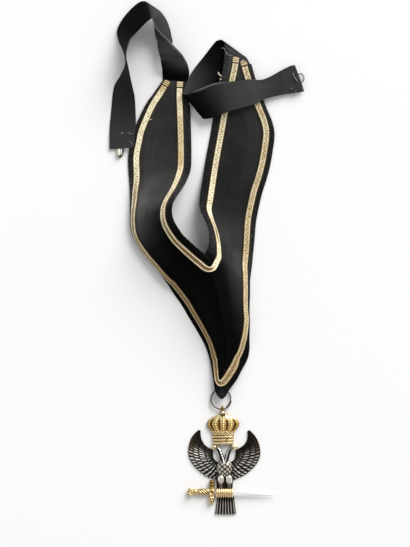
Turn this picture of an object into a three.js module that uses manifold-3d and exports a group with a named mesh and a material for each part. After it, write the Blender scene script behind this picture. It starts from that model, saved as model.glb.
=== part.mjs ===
// A ribbon collar laid out flat on its back, with a cast jewel hanging from its point.
// Every length is in millimetres. Plan positions are counted right and down from the
// top left corner of the laid out collar, and turned into x and y by at().
import * as THREE from 'three';
import Module from 'manifold-3d';

const wasm = await Module();
wasm.setup();

const PLAN_MIDDLE = { x: 206.94, y: 258.14 };

// The collar ribbon and the braid sewn on it
const BAND_THICKNESS = 1.8;
const BRAID_WIDTH = 7;
const BRAID_THICKNESS = 1;
const SEWN_GAP = 0.52;
const SEAM_GAP = 0.3;
const BRAID_STEP = 6;
const BAND_CELLS_ACROSS = 8;
const BRAID_TURN_INSIDE = 4;
const BRAID_TURN_OUTSIDE = 3.8;
const SEAM_BLEND = 7;
const UP = new THREE.Vector3(0, 0, 1);

// The narrow straps
const STRAP_THICKNESS = 1;
const CURLED_STRAP_CELLS = 5;
const FLAT_STRAP_CELLS = 3;

// The metal fittings
const HOOK_WIRE = 1.3;
const EYE_WIRE = 1.2;
const RING_WIRE = 1.7;
const RING_OUTSIDE = 21.3;
const RING_MIDDLE = { x: 220.9, y: 399.1, z: 2.6 };
const RING_TILT = 0.06;
const LOOP_WIDTH = 6;
const LOOP_THICKNESS = 0.8;

// The jewel
const REST_HEIGHT = 0;
const CROWN_HEIGHT = 5.2;
const WING_THICKNESS = 2;
const TAIL_THICKNESS = 2;
const BLADE_THICKNESS = 1.4;
const BLADE_HEIGHT = 3.1;

function at(x, y, z = 0) {
  return new THREE.Vector3(x - PLAN_MIDDLE.x, PLAN_MIDDLE.y - y, z);
}

function named(columns, rows) {
  return rows.map((row) => Object.fromEntries(columns.map((column, i) => [column, row[i] ?? 0])));
}

// The mitred seam on the top of the collar, from the point up to the notch of the V
const SEAM_COLUMNS = ['x', 'y', 'z'];
const seamRows = named(SEAM_COLUMNS, [
  [221.5, 398.6, 7],
  [224.3, 375, 7.8],
  [224.9, 350, 13],
  [222.8, 325, 22],
  [218, 298, 28.5],
  [211.5, 273, 30],
  [204.5, 254, 28],
]);
const seamLine = new THREE.CatmullRomCurve3(seamRows.map((row) => at(row.x, row.y, row.z)));
seamLine.arcLengthDivisions = 400;

// Sections of each arm next to the seam. Columns: how far up the seam the section starts,
// its outer end, the dip in degrees at each end, how far each end keeps that direction,
// and how far the middles of the two braids lie from the ends, along the cloth.
const POINT_COLUMNS = [
  'up', 'outX', 'outY', 'outZ', 'inDip', 'outDip', 'inReach', 'outReach', 'inBraid', 'outBraid',
];
const leftPointRows = named(POINT_COLUMNS, [
  [0.9, 220.2, 398.5, 7, 0, 0, 0.3, 0.3, -50, 0.4],
  [6, 217, 395, 6.9, 0, 5, 1.5, 1.5, -50, 2],
  [13.5, 214.3, 389, 6.6, 5, 12, 3, 2.5, -50, 5],
  [24, 213, 380, 5.2, 8, 20, 4, 4, -50, 5],
  [37, 211.3, 369, 3.6, 11, 26, 7, 5, -50, 5.6],
  [50.7, 209, 357.5, 2.2, 14, 22, 10, 7, -40, 7],
  [66.2, 204.6, 345, 1.4, 18, 14, 13, 8.6, -30, 8],
  [83.5, 197.5, 332, 0.9, 19, 10, 16.5, 9.8, -26, 8.5],
  [102, 189.3, 318.5, 0.6, 17, 10, 19, 11, -20, 8.6],
  [120.3, 181.4, 305.2, 0.4, 12, 12, 21.5, 11.6, -8, 8.5],
  [136, 173.7, 294.3, 0.3, 8, 26, 23.5, 11.7, 3.5, 8.5],
  [147, 168.4, 286.2, 0.3, 6, 46, 25, 12, 9, 8.5],
]);
const rightPointRows = named(POINT_COLUMNS, [
  [0.9, 222.8, 398.3, 7, 0, 0, 0.3, 0.3, -50, 0.4],
  [7, 226, 394.5, 6.9, 0, 5, 1.5, 1.5, -50, 3],
  [17, 231, 387.5, 6.4, 5, 8, 3, 3, -50, 9],
  [28, 236.7, 380, 5.2, 8, 12, 4, 4, -50, 11.5],
  [41.2, 242, 370, 3.6, 14, 14, 7, 6, -50, 11.5],
  [55.5, 247.7, 359, 2.4, 22, 8, 10, 9, -40, 11],
  [67.4, 249.8, 349, 2, 28, 22, 13, 8, -30, 10.2],
  [81.4, 249.8, 337, 1.3, 33, 70, 17, 6.5, -26, 9.3],
  [97.8, 250.1, 323, 0.8, 36, 80, 19, 8, -20, 8.8],
  [114.2, 249.9, 309, 0.6, 36, 66, 20, 11, -12, 9.6],
  [130.6, 250.4, 295, 0.8, 34, 56, 18.5, 14, 0.5, 9.4],
  [146.4, 250.5, 282, 1.1, 24, 44, 15.5, 20.5, 12, 9],
]);

// Sections of each arm from the notch of the V to the end of the arm, in the same terms,
// with the inner end given in plan and height
const ARM_COLUMNS = [
  'inX', 'inY', 'inZ', 'outX', 'outY', 'outZ',
  'inDip', 'outDip', 'inReach', 'outReach', 'inBraid', 'outBraid',
];
const leftArmRows = named(ARM_COLUMNS, [
  [203.9, 253.9, 28, 166.6, 283.4, 0.3, 5, 64, 25, 12.5, 10.5, 8.5],
  [197, 248, 30, 160, 274.2, 0.3, 6, 82, 24, 12, 10.5, 8.5],
  [190, 242, 32, 153.2, 265.7, 0.3, 14, 94, 22, 10, 10.5, 8.5],
  [182, 234, 34.5, 144.3, 255.6, 0.3, 18, 98, 21, 8.5, 10.5, 8.5],
  [173.4, 220, 38.5, 133.8, 239.4, 0.3, 26, 102, 21, 7.5, 10.5, 8.5],
  [171.8, 208, 39.2, 130.4, 225, 0.3, 34, 106, 20, 7, 10.5, 8.5],
  [175, 198.5, 37, 129.8, 213, 0.5, 38, 98, 21, 7.5, 10.5, 8.5],
  [182, 188, 30, 129.5, 199, 0.7, 40, 76, 21, 9.5, 10.5, 8.6],
  [187.4, 178, 20, 129, 185.5, 1, 30, 38, 19, 18, 10.5, 8.9],
  [190.7, 168, 11, 128.3, 172.8, 1.6, 18, 16, 18, 18, 10.5, 8.8],
  [191.4, 155, 5.5, 128, 157, 1.8, 6, 7, 18, 18, 10.5, 8.5],
  [191.3, 141, 3.6, 131, 141, 1.8, 2, 2, 18, 18, 10.5, 8.2],
  [191, 130, 3.2, 134.4, 128.6, 2, 1, 1, 18, 18, 10.5, 7.8],
  [190, 108, 3.1, 145.5, 105, 2.6, 0, 0, 14, 14, 10.2, 7],
  [187, 95, 3.1, 154, 93, 3.1, 0, 0, 10, 10, 7.6, 6.2],
  [185, 82, 3.1, 163, 80, 3.1, 0, 0, 6, 6, 5, 5],
]);
const rightArmRows = named(ARM_COLUMNS, [
  [205.1, 253.6, 28, 250.7, 279, 1.2, 14, 36, 15, 24, 14.5, 8.5],
  [207, 250, 28.8, 251.8, 269, 1.5, 4, 14, 13, 30, 14, 8.5],
  [209.4, 240, 29, 252.4, 263, 1.8, 14, 5, 13, 33, 11.4, 8.5],
  [209.6, 230, 27.5, 253.1, 255, 1.8, 42, 3, 14, 33, 10, 8.5],
  [207.4, 222, 24.5, 254.1, 245, 1.8, 56, 1, 16, 33, 9.8, 8.5],
  [204, 215.5, 20, 255, 234, 1.8, 52, 0, 18, 32, 10, 8.5],
  [200.4, 207, 15, 256, 223, 1.8, 38, 0, 18, 29, 10, 8.5],
  [200.2, 197, 10, 258, 211.5, 1.8, 18, 0, 17, 26, 10.5, 8.5],
  [202.5, 180, 5, 262, 194, 1.8, 4, 0, 18, 22, 10.5, 8.5],
  [204.5, 167, 3, 266.3, 180.5, 1.8, 2, 0, 18, 20, 10.5, 8.5],
  [206.5, 155, 2.4, 269.8, 167.5, 1.8, 0, 0, 18, 18, 10.5, 8.5],
  [209.3, 140, 1.9, 272.8, 151, 1.8, 0, 0, 18, 18, 10.5, 8.5],
  [212, 125, 1.9, 274.6, 135, 1.8, 0, 0, 18, 18, 10.5, 8.5],
  [214, 113, 2.6, 272.5, 122.5, 1.9, 0, 0, 18, 18, 10.6, 8.5],
  [217, 100, 3.6, 267.3, 110, 2.8, 0, 0, 16, 16, 10.8, 8.4],
  [220, 84, 4.5, 259.5, 90, 4, 0, 0, 12, 12, 11, 8.2],
  [222.5, 70, 4.7, 255, 77, 4.7, 0, 0, 9, 9, 11.6, 8.2],
  [225, 51, 4.8, 251.5, 64.5, 4.8, 0, 0, 8, 8, 12.6, 9.4],
]);

function besideSeam(row, side) {
  const along = row.up / seamLine.getLength();
  const place = seamLine.getPointAt(along);
  const heading = seamLine.getTangentAt(along).setZ(0).normalize();
  place.x -= side * heading.y * SEAM_GAP * 0.5;
  place.y += side * heading.x * SEAM_GAP * 0.5;
  const { up, ...rest } = row;
  return {
    ...rest,
    inX: place.x + PLAN_MIDDLE.x,
    inY: PLAN_MIDDLE.y - place.y,
    inZ: place.z,
  };
}

// A value of the table between two of its rows, on a smooth curve through them
function between(rows, t) {
  const last = rows.length - 1;
  const k = Math.min(Math.max(Math.floor(t), 0), last - 1);
  const u = t - k;
  const a = rows[Math.max(k - 1, 0)];
  const b = rows[k];
  const c = rows[k + 1];
  const d = rows[Math.min(k + 2, last)];
  const result = {};
  for (const column of Object.keys(b)) {
    const leave = (c[column] - a[column]) / 2;
    const arrive = (d[column] - b[column]) / 2;
    const rise = c[column] - b[column];
    const square = u * u;
    const cube = square * u;
    result[column] = b[column] + leave * (cube - 2 * square + u)
      + rise * (3 * square - 2 * cube) + arrive * (cube - square);
  }
  return result;
}

// One arm of the collar: its top surface is a curved section for each place t in its table,
// and a distance d from the outer end of that section, along the cloth
class Arm {
  constructor(pointRows, armRows, side) {
    this.rows = [...pointRows.map((row) => besideSeam(row, side)), ...armRows];
    this.side = side;
    this.seamRows = pointRows.length;
    this.last = this.rows.length - 1;
    this.sections = new Map();
  }

  section(t) {
    const key = Math.round(t * 1e5);
    if (!this.sections.has(key)) {
      const row = between(this.rows, t);
      const inner = at(row.inX, row.inY, row.inZ);
      const outer = at(row.outX, row.outY, row.outZ);
      const across = outer.clone().sub(inner).setZ(0).normalize();
      const inDip = THREE.MathUtils.degToRad(row.inDip);
      const outDip = THREE.MathUtils.degToRad(row.outDip);
      const leave = across.clone().multiplyScalar(Math.cos(inDip)).setZ(-Math.sin(inDip));
      const arrive = across.clone().multiplyScalar(Math.cos(outDip)).setZ(-Math.sin(outDip));
      const curve = new THREE.CubicBezierCurve3(
        outer,
        outer.clone().addScaledVector(arrive, -row.outReach),
        inner.clone().addScaledVector(leave, row.inReach),
        inner,
      );
      curve.arcLengthDivisions = 60;
      this.sections.set(key, { curve, width: curve.getLength(), row });
    }
    return this.sections.get(key);
  }

  place(t, d) {
    const { curve, width } = this.section(t);
    return curve.getPointAt(THREE.MathUtils.clamp(d / width, 0, 1));
  }

  slopes(t, d) {
    const { width } = this.section(t);
    const step = 0.02;
    const before = Math.max(t - step, 0);
    const after = Math.min(t + step, this.last);
    const share = d / width;
    const low = this.place(before, share * this.section(before).width);
    const high = this.place(after, share * this.section(after).width);
    const along = high.sub(low).divideScalar(after - before);
    const near = THREE.MathUtils.clamp(d - 0.4, 0, width - 0.8);
    const across = this.place(t, near + 0.8).sub(this.place(t, near)).normalize();
    const normal = across.clone().cross(along).multiplyScalar(this.side).normalize();
    return { along, across, normal, share };
  }
}

const leftArm = new Arm(leftPointRows, leftArmRows, 1);
const rightArm = new Arm(rightPointRows, rightArmRows, -1);

// A closed mesh from a grid of top points and a grid of bottom points
function closedSheet(top, bottom) {
  const rows = top.length;
  const cells = top[0].length;
  const positions = [];
  for (const grid of [top, bottom]) {
    for (const line of grid) {
      for (const p of line) positions.push(p.x, p.y, p.z);
    }
  }
  const index = [];
  const id = (layer, i, j) => (layer * rows + i) * cells + j;
  const quad = (a, b, c, d) => index.push(a, b, c, a, c, d);
  for (let i = 0; i < rows - 1; i++) {
    for (let j = 0; j < cells - 1; j++) {
      quad(id(0, i, j), id(0, i + 1, j), id(0, i + 1, j + 1), id(0, i, j + 1));
      quad(id(1, i, j), id(1, i, j + 1), id(1, i + 1, j + 1), id(1, i + 1, j));
    }
    quad(id(0, i, 0), id(1, i, 0), id(1, i + 1, 0), id(0, i + 1, 0));
    const e = cells - 1;
    quad(id(0, i, e), id(0, i + 1, e), id(1, i + 1, e), id(1, i, e));
  }
  for (let j = 0; j < cells - 1; j++) {
    quad(id(0, 0, j), id(0, 0, j + 1), id(1, 0, j + 1), id(1, 0, j));
    const e = rows - 1;
    quad(id(0, e, j), id(1, e, j), id(1, e, j + 1), id(0, e, j + 1));
  }
  const geometry = new THREE.BufferGeometry();
  geometry.setAttribute('position', new THREE.Float32BufferAttribute(positions, 3));
  geometry.setIndex(index);
  return facingOut(geometry);
}

function volumeOf(geometry) {
  const p = geometry.getAttribute('position');
  const index = geometry.getIndex();
  const corners = [new THREE.Vector3(), new THREE.Vector3(), new THREE.Vector3()];
  let total = 0;
  for (let i = 0; i < index.count; i += 3) {
    corners.forEach((corner, k) => corner.fromBufferAttribute(p, index.getX(i + k)));
    total += corners[0].dot(corners[1].clone().cross(corners[2])) / 6;
  }
  return total;
}

function facingOut(geometry) {
  if (volumeOf(geometry) < 0) {
    const index = geometry.getIndex();
    for (let i = 0; i < index.count; i += 3) {
      const keep = index.getX(i + 1);
      index.setX(i + 1, index.getX(i + 2));
      index.setX(i + 2, keep);
    }
  }
  return geometry;
}

function bandGeometry(arm, stepsPerRow) {
  const top = [];
  const bottom = [];
  const count = Math.round(arm.last * stepsPerRow);
  for (let i = 0; i <= count; i++) {
    const t = (i / count) * arm.last;
    const { width } = arm.section(t);
    const topLine = [];
    const bottomLine = [];
    for (let j = 0; j <= BAND_CELLS_ACROSS; j++) {
      const d = (j / BAND_CELLS_ACROSS) * width;
      const place = arm.place(t, d);
      const { normal } = arm.slopes(t, d);
      const reach = THREE.MathUtils.clamp((width - d) / SEAM_BLEND, 0, 1);
      const past = THREE.MathUtils.clamp((t - arm.seamRows) / 2, 0, 1);
      normal.lerp(UP, (1 - reach) * (1 - past)).normalize();
      topLine.push(place);
      bottomLine.push(place.clone().addScaledVector(normal, -BAND_THICKNESS).setZ(
        Math.max(place.z - normal.z * BAND_THICKNESS, 0),
      ));
    }
    top.push(topLine);
    bottom.push(bottomLine);
  }
  return closedSheet(top, bottom);
}

// The middle line of a braid on one arm, from the seam to the end of the arm
function braidLine(arm, kind, fromT) {
  const line = [];
  const count = 600;
  for (let i = 0; i <= count; i++) {
    const t = fromT + ((arm.last - fromT) * i) / count;
    const { width, row } = arm.section(t);
    const d = kind === 'outer' ? row.outBraid : width - row.inBraid;
    line.push({ t, d, place: arm.place(t, d) });
  }
  return line;
}

// Stations along that line, each with the two edges of the braid worked out on the cloth
function braidStations(arm, kind, fromT, corner) {
  const line = braidLine(arm, kind, fromT);
  const total = line.slice(1).reduce((sum, p, i) => sum + p.place.distanceTo(line[i].place), 0);
  const start = line[0].place.distanceTo(corner);
  const count = Math.ceil((total + start) / BRAID_STEP);
  const stations = [];
  let walked = start;
  let next = 1;
  for (let i = 1; i < line.length; i++) {
    const step = line[i].place.distanceTo(line[i - 1].place);
    while (next <= count && walked + step >= (next * (total + start)) / count - 1e-6) {
      const heading = line[Math.min(i + 2, line.length - 1)].place.clone()
        .sub(line[Math.max(i - 2, 0)].place).normalize();
      stations.push(braidEdges(arm, line[i], heading));
      next += 1;
    }
    walked += step;
  }
  return stations;
}

function braidEdges(arm, spot, heading) {
  const { along, across, normal } = arm.slopes(spot.t, spot.d);
  const side = heading.clone().cross(normal).normalize();
  const aa = along.dot(along);
  const ab = along.dot(across);
  const sa = side.dot(along);
  const sb = side.dot(across);
  const det = aa - ab * ab;
  const dt = (sa - ab * sb) / det;
  const dd = (aa * sb - ab * sa) / det;
  const { width } = arm.section(spot.t);
  return [-0.5, 0.5].map((half) => {
    const t = THREE.MathUtils.clamp(spot.t + dt * half * BRAID_WIDTH, 0, arm.last);
    const share = (spot.d + dd * half * BRAID_WIDTH) / width;
    const d = THREE.MathUtils.clamp(share, 0, 1) * arm.section(t).width;
    return { place: arm.place(t, d), normal: arm.slopes(t, d).normal };
  });
}

function braidGeometry(kind, leftFrom, rightFrom, up) {
  const total = seamLine.getLength();
  const corner = seamLine.getPointAt(up / total);
  const turn = [up - BRAID_TURN_OUTSIDE, up + BRAID_TURN_INSIDE].map((reach) => ({
    place: seamLine.getPointAt(reach / total),
    normal: new THREE.Vector3(0, 0, 1),
  }));
  const left = braidStations(leftArm, kind, leftFrom, corner);
  const right = braidStations(rightArm, kind, rightFrom, corner);
  let previous = turn;
  const follow = (pair) => {
    const reach = (a, b) => pair[a].place.distanceTo(previous[b].place);
    const crossed = reach(1, 0) + reach(0, 1) < reach(0, 0) + reach(1, 1);
    previous = crossed ? [pair[1], pair[0]] : pair;
    return previous;
  };
  const leftPairs = left.map(follow);
  previous = turn;
  const rightPairs = right.map(follow);
  const pairs = [...leftPairs.reverse(), turn, ...rightPairs];
  const lift = (distance) => pairs.map((pair) => pair.map(
    ({ place, normal }) => place.clone().addScaledVector(normal, distance),
  ));
  return closedSheet(lift(SEWN_GAP + BRAID_THICKNESS), lift(SEWN_GAP));
}

// The straps: each row is a line across the ribbon, with the plan and height of both edges and,
// where the ribbon curls, how far its middle is pushed out of the straight line
const STRAP_COLUMNS = ['aX', 'aY', 'aZ', 'bX', 'bY', 'bZ', 'curlX', 'curlY', 'curlZ'];
const leftStrapRows = named(STRAP_COLUMNS, [
  [165.5, 95, 0.5, 184.5, 97, 0.5],
  [163, 81, 0.5, 187.5, 81.5, 0.5],
  [162.4, 74, 3.2, 189.3, 74.5, 3],
  [161.9, 67.5, 9, 188.4, 67.3, 8.6],
  [160.8, 61, 12, 185.6, 60.5, 12, -0.6, 0, 0.6],
  [161, 55.5, 10.5, 181.4, 54, 15, -8, 0, 0.6],
  [167.5, 50, 8.5, 175.5, 48, 15.5, -12.6, 0, 0],
  [172.6, 43.3, 7, 168.6, 40.8, 16.5, -12.6, 0, 0],
  [171.6, 36.5, 6, 162, 35, 19, -10.5, 0, 0],
  [170, 29, 5, 156.8, 29, 22.5, -7, 0, 0],
  [166.8, 20.8, 5.5, 153.8, 23.6, 25.5, -3.6, 0, 0],
  [160.8, 12.4, 7.5, 152.8, 21, 27, -0.6, 0, 0.5],
  [152.5, 6.5, 9.5, 151.9, 20.2, 27.3, 0, 0, 1],
  [145, 2.2, 12.3, 150.4, 21, 27],
  [138.5, 3.6, 10.8, 146.5, 24.2, 26],
  [129.4, 11.4, 7.8, 140.4, 30.3, 25],
  [121.4, 21.4, 4.6, 135.6, 35.3, 24.6],
  [117.2, 31, 1.6, 131, 41, 24.6],
  [118.9, 41, 0.8, 128.2, 48.5, 25.2],
  [122.7, 49.5, 0.6, 126.6, 55, 25.4],
  [125, 57.5, 0.6, 126.9, 61, 25],
  [124.9, 66, 0.6, 128.6, 69, 24],
  [120, 76.6, 0.6, 130.6, 78, 21.6],
  [114.4, 86, 0.6, 132.7, 87.5, 18],
  [112.3, 98, 0.6, 135, 98, 13.4],
  [111, 113, 0.6, 135.8, 112, 9],
  [109.8, 126, 0.8, 136, 124, 7],
  [109.6, 138, 1.3, 134.8, 136, 6.2],
  [109.6, 149.4, 1.5, 133.6, 147.6, 5.9],
]);
const rightStrapRows = named(STRAP_COLUMNS, [
  [224.5, 67, 2.15, 244.5, 77.5, 2.15],
  [226, 60, 2.15, 246.5, 71.5, 2.15],
  [226.6, 52.5, 2.15, 249, 65.5, 2.15],
  [224.8, 46, 2.6, 248.8, 61.6, 2.5],
  [222, 40.6, 2.2, 245.3, 57.4, 2],
  [218.4, 40.2, 1, 240.4, 58.4, 0.9],
  [214.2, 43.2, 0.55, 235, 62.6, 0.55],
  [203.6, 56.8, 0.55, 225, 73, 0.55],
  [195.2, 67.4, 0.9, 218.5, 83, 0.55],
  [189.4, 76.6, 2.6, 213.5, 93.5, 0.9],
  [185.4, 84.9, 4.9, 209, 104, 2],
  [183.6, 91.2, 6.1, 205.4, 112.6, 4],
  [182.8, 94, 8.2, 203.2, 117.6, 6],
  [185.6, 94.8, 9.6, 204, 119.3, 8.2],
  [191.6, 92.6, 9.6, 208.2, 119, 9],
  [199.5, 89.6, 9.2, 214.5, 117.6, 9.2],
  [213, 84.2, 9.2, 222.5, 114.2, 9.2],
  [224.5, 82.4, 9.6, 232, 111, 9.4],
  [237, 81.6, 9.6, 245.5, 107.4, 9],
  [249, 79.8, 9, 256, 104, 8.2],
  [261, 80, 7, 264.2, 99.4, 6.4],
  [270.3, 76.6, 5.4, 272.8, 97, 5],
  [281.8, 70.2, 4.6, 285.4, 94.4, 4.2],
  [290.6, 66, 4.6, 296.8, 93.2, 4.2],
  [294.9, 65.5, 4.8, 304.3, 91.4, 4.4],
]);

function strapGeometry(rows, stepsPerRow, cellsAcross) {
  const line = (t, share) => {
    const row = between(rows, t);
    const a = at(row.aX, row.aY, row.aZ);
    const curl = new THREE.Vector3(row.curlX, -row.curlY, row.curlZ);
    return a.lerp(at(row.bX, row.bY, row.bZ), share).addScaledVector(curl, 4 * share * (1 - share));
  };
  const last = rows.length - 1;
  const count = last * stepsPerRow;
  const top = [];
  const bottom = [];
  for (let i = 0; i <= count; i++) {
    const t = i / stepsPerRow;
    const before = Math.max(t - 0.05, 0);
    const after = Math.min(t + 0.05, last);
    const topLine = [];
    const bottomLine = [];
    for (let j = 0; j <= cellsAcross; j++) {
      const share = j / cellsAcross;
      const along = line(after, share).sub(line(before, share));
      const across = line(t, Math.min(share + 0.05, 1)).sub(line(t, Math.max(share - 0.05, 0)));
      const normal = along.cross(across).normalize();
      const place = line(t, share);
      const over = place.clone().addScaledVector(normal, STRAP_THICKNESS / 2);
      const under = place.clone().addScaledVector(normal, -STRAP_THICKNESS / 2);
      topLine.push(over.setZ(Math.max(over.z, 0)));
      bottomLine.push(under.setZ(Math.max(under.z, 0)));
    }
    top.push(topLine);
    bottom.push(bottomLine);
  }
  return closedSheet(top, bottom);
}

// Solids joined and cut as closed bodies
function solidOf(geometry) {
  const flat = geometry.index ? geometry.toNonIndexed() : geometry;
  const p = flat.getAttribute('position');
  const keys = new Map();
  const vertices = [];
  const triangles = [];
  for (let i = 0; i < p.count; i++) {
    const place = [p.getX(i), p.getY(i), p.getZ(i)];
    const key = place.map((value) => Math.round(value * 1e4)).join(',');
    if (!keys.has(key)) {
      keys.set(key, vertices.length / 3);
      vertices.push(...place);
    }
    triangles.push(keys.get(key));
  }
  const kept = [];
  for (let i = 0; i < triangles.length; i += 3) {
    const [a, b, c] = triangles.slice(i, i + 3);
    if (a !== b && b !== c && a !== c) kept.push(a, b, c);
  }
  return new wasm.Manifold(new wasm.Mesh({
    numProp: 3,
    vertProperties: new Float32Array(vertices),
    triVerts: new Uint32Array(kept),
  }));
}

function joined(geometries) {
  return geometries.map(solidOf).reduce((sum, solid) => sum.add(solid));
}

function geometryOf(solid) {
  const mesh = solid.getMesh();
  const geometry = new THREE.BufferGeometry();
  geometry.setAttribute('position', new THREE.Float32BufferAttribute(mesh.vertProperties, 3));
  geometry.setIndex(new THREE.Uint32BufferAttribute(mesh.triVerts, 1));
  return geometry;
}

// A round bar along points, with flat ends
function bar(points, radius, steps, sides = 6) {
  const path = new THREE.CatmullRomCurve3(points);
  const outline = new THREE.Shape();
  for (let i = 0; i < sides; i++) {
    const angle = (i / sides) * Math.PI * 2;
    const x = Math.cos(angle) * radius;
    const y = Math.sin(angle) * radius;
    if (i === 0) outline.moveTo(x, y);
    else outline.lineTo(x, y);
  }
  return new THREE.ExtrudeGeometry(outline, { steps, extrudePath: path, bevelEnabled: false });
}

function ball(centre, radius, widths = [1, 1, 1], across = 10, down = 7) {
  const geometry = new THREE.SphereGeometry(radius, across, down);
  geometry.rotateX(Math.PI / 2);
  geometry.scale(widths[0], widths[1], widths[2]);
  geometry.translate(centre.x, centre.y, centre.z);
  return geometry;
}

function wireRing(outside, wire, around, sides) {
  return new THREE.TorusGeometry((outside - wire) / 2, wire / 2, sides, around);
}

// A plate with a plan outline, from height low to height high
function plate(outline, low, high) {
  const shape = new THREE.Shape(outline.map(([x, y]) => {
    const p = at(x, y);
    return new THREE.Vector2(p.x, p.y);
  }));
  const geometry = new THREE.ExtrudeGeometry(shape, { depth: high - low, bevelEnabled: false });
  geometry.translate(0, 0, low);
  return geometry;
}

// A raised feather or rib: a six sided bar that narrows to both ends
function rib(from, to, width, height) {
  const length = from.distanceTo(to);
  const geometry = new THREE.CylinderGeometry(0.62, 0.55, length, 6, 2);
  const p = geometry.getAttribute('position');
  for (let i = 0; i < p.count; i++) {
    const swell = Math.abs(p.getY(i)) < length * 0.1 ? 1.6 : 1;
    p.setX(i, p.getX(i) * swell * width * 0.5);
    p.setZ(i, p.getZ(i) * swell * height);
  }
  const heading = to.clone().sub(from);
  geometry.rotateZ(Math.atan2(heading.y, heading.x) - Math.PI / 2);
  const middle = from.clone().add(to).multiplyScalar(0.5);
  geometry.translate(middle.x, middle.y, middle.z);
  return geometry;
}

// Hook: two legs under the strap, joined by a rounded bill that turns back
function hookSolid() {
  const z = 0.8;
  const legs = bar([
    at(117.6, 140, z), at(117.6, 147, z), at(117.4, 151.5, z), at(118.4, 155.4, z),
    at(120.6, 156.8, z), at(122.8, 155.4, z), at(123.6, 151.5, z), at(123.4, 147, z),
    at(123.4, 140, z),
  ], HOOK_WIRE / 2, 15, 6);
  const bill = bar([
    at(120.6, 156.6, z), at(120.5, 157, z + 1.2), at(120.4, 155.4, z + 2.2),
    at(120.4, 152.8, z + 2.3), at(120.4, 151.2, z + 2),
  ], HOOK_WIRE * 0.62, 6, 6);
  const loops = [115.9, 125.1].map((x) => {
    const ring = wireRing(4.6, HOOK_WIRE, 12, 6);
    const p = at(x, 139.4, z);
    ring.translate(p.x, p.y, p.z);
    return ring;
  });
  return joined([legs, bill, ...loops, ball(at(120.4, 151, z + 2), HOOK_WIRE * 0.66)]);
}

// Eye: a rounded wire bow that stands out from the end of the strap
function eyeSolid() {
  const middle = at(298.9, 78.6, 0);
  const out = new THREE.Vector3(0.93, 0.36, 0);
  const side = new THREE.Vector3(0.36, -0.93, 0);
  const z = 2.7;
  const spot = (reach, wide) => middle.clone().addScaledVector(out, reach)
    .addScaledVector(side, wide).setZ(z);
  const bow = bar([
    spot(-9, -4.4), spot(-4, -4.3), spot(0.5, -4.2), spot(3.6, -3.4), spot(5, 0),
    spot(3.6, 3.4), spot(0.5, 4.2), spot(-4, 4.3), spot(-9, 4.4),
  ], EYE_WIRE / 2, 15, 6);
  const loops = [-6.1, 6.1].map((wide) => {
    const ring = wireRing(4.6, EYE_WIRE, 12, 6);
    const p = spot(-9, wide);
    ring.translate(p.x, p.y, p.z);
    return ring;
  });
  return joined([bow, ...loops]);
}

// The hidden cloth loop: a flat closed loop that lets the ring pass through it
function ringLoopSolid() {
  const top = at(RING_MIDDLE.x, RING_MIDDLE.y - (RING_OUTSIDE - RING_WIRE) / 2, 0);
  const z = RING_MIDDLE.z - RING_TILT * 10;
  const room = RING_WIRE / 2 + 0.32;
  const outline = (grow) => {
    const shape = new THREE.Shape();
    const low = z - room - grow;
    const high = z + room + grow;
    const near = -room - 0.5 - grow;
    const far = 8 + grow;
    shape.moveTo(near + 1, low);
    shape.lineTo(far - 1, low);
    shape.quadraticCurveTo(far, low, far, low + 1);
    shape.lineTo(far, high - 1);
    shape.quadraticCurveTo(far, high, far - 1, high);
    shape.lineTo(near + 1, high);
    shape.quadraticCurveTo(near, high, near, high - 1);
    shape.lineTo(near, low + 1);
    shape.quadraticCurveTo(near, low, near + 1, low);
    return shape;
  };
  const shape = outline(LOOP_THICKNESS);
  shape.holes.push(outline(0));
  const geometry = new THREE.ExtrudeGeometry(shape, {
    depth: LOOP_WIDTH, bevelEnabled: false, curveSegments: 3,
  });
  geometry.rotateX(Math.PI / 2);
  geometry.rotateZ(Math.PI / 2);
  geometry.translate(top.x - LOOP_WIDTH / 2, top.y, 0);
  return solidOf(geometry);
}

function ringSolid() {
  const ring = wireRing(RING_OUTSIDE, RING_WIRE, 36, 8);
  ring.rotateX(-RING_TILT);
  const p = at(RING_MIDDLE.x, RING_MIDDLE.y, RING_MIDDLE.z);
  ring.translate(p.x, p.y, p.z);
  return solidOf(ring);
}

// Crown: a closed crown with five arches in view, a circlet in steps and a ball on top
const CROWN_COLUMNS = ['y', 'half', 'high'];
const crownRows = named(CROWN_COLUMNS, [
  [414.6, 4.6, 3.4],
  [416.4, 9.8, 4],
  [419.5, 14.8, 4.7],
  [423.8, 16.6, 5],
  [427.4, 15, 4.9],
  [430.6, 12.2, 4.5],
  [432.6, 10.8, 4.2],
]);
const CROWN_X = 223.1;

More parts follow.
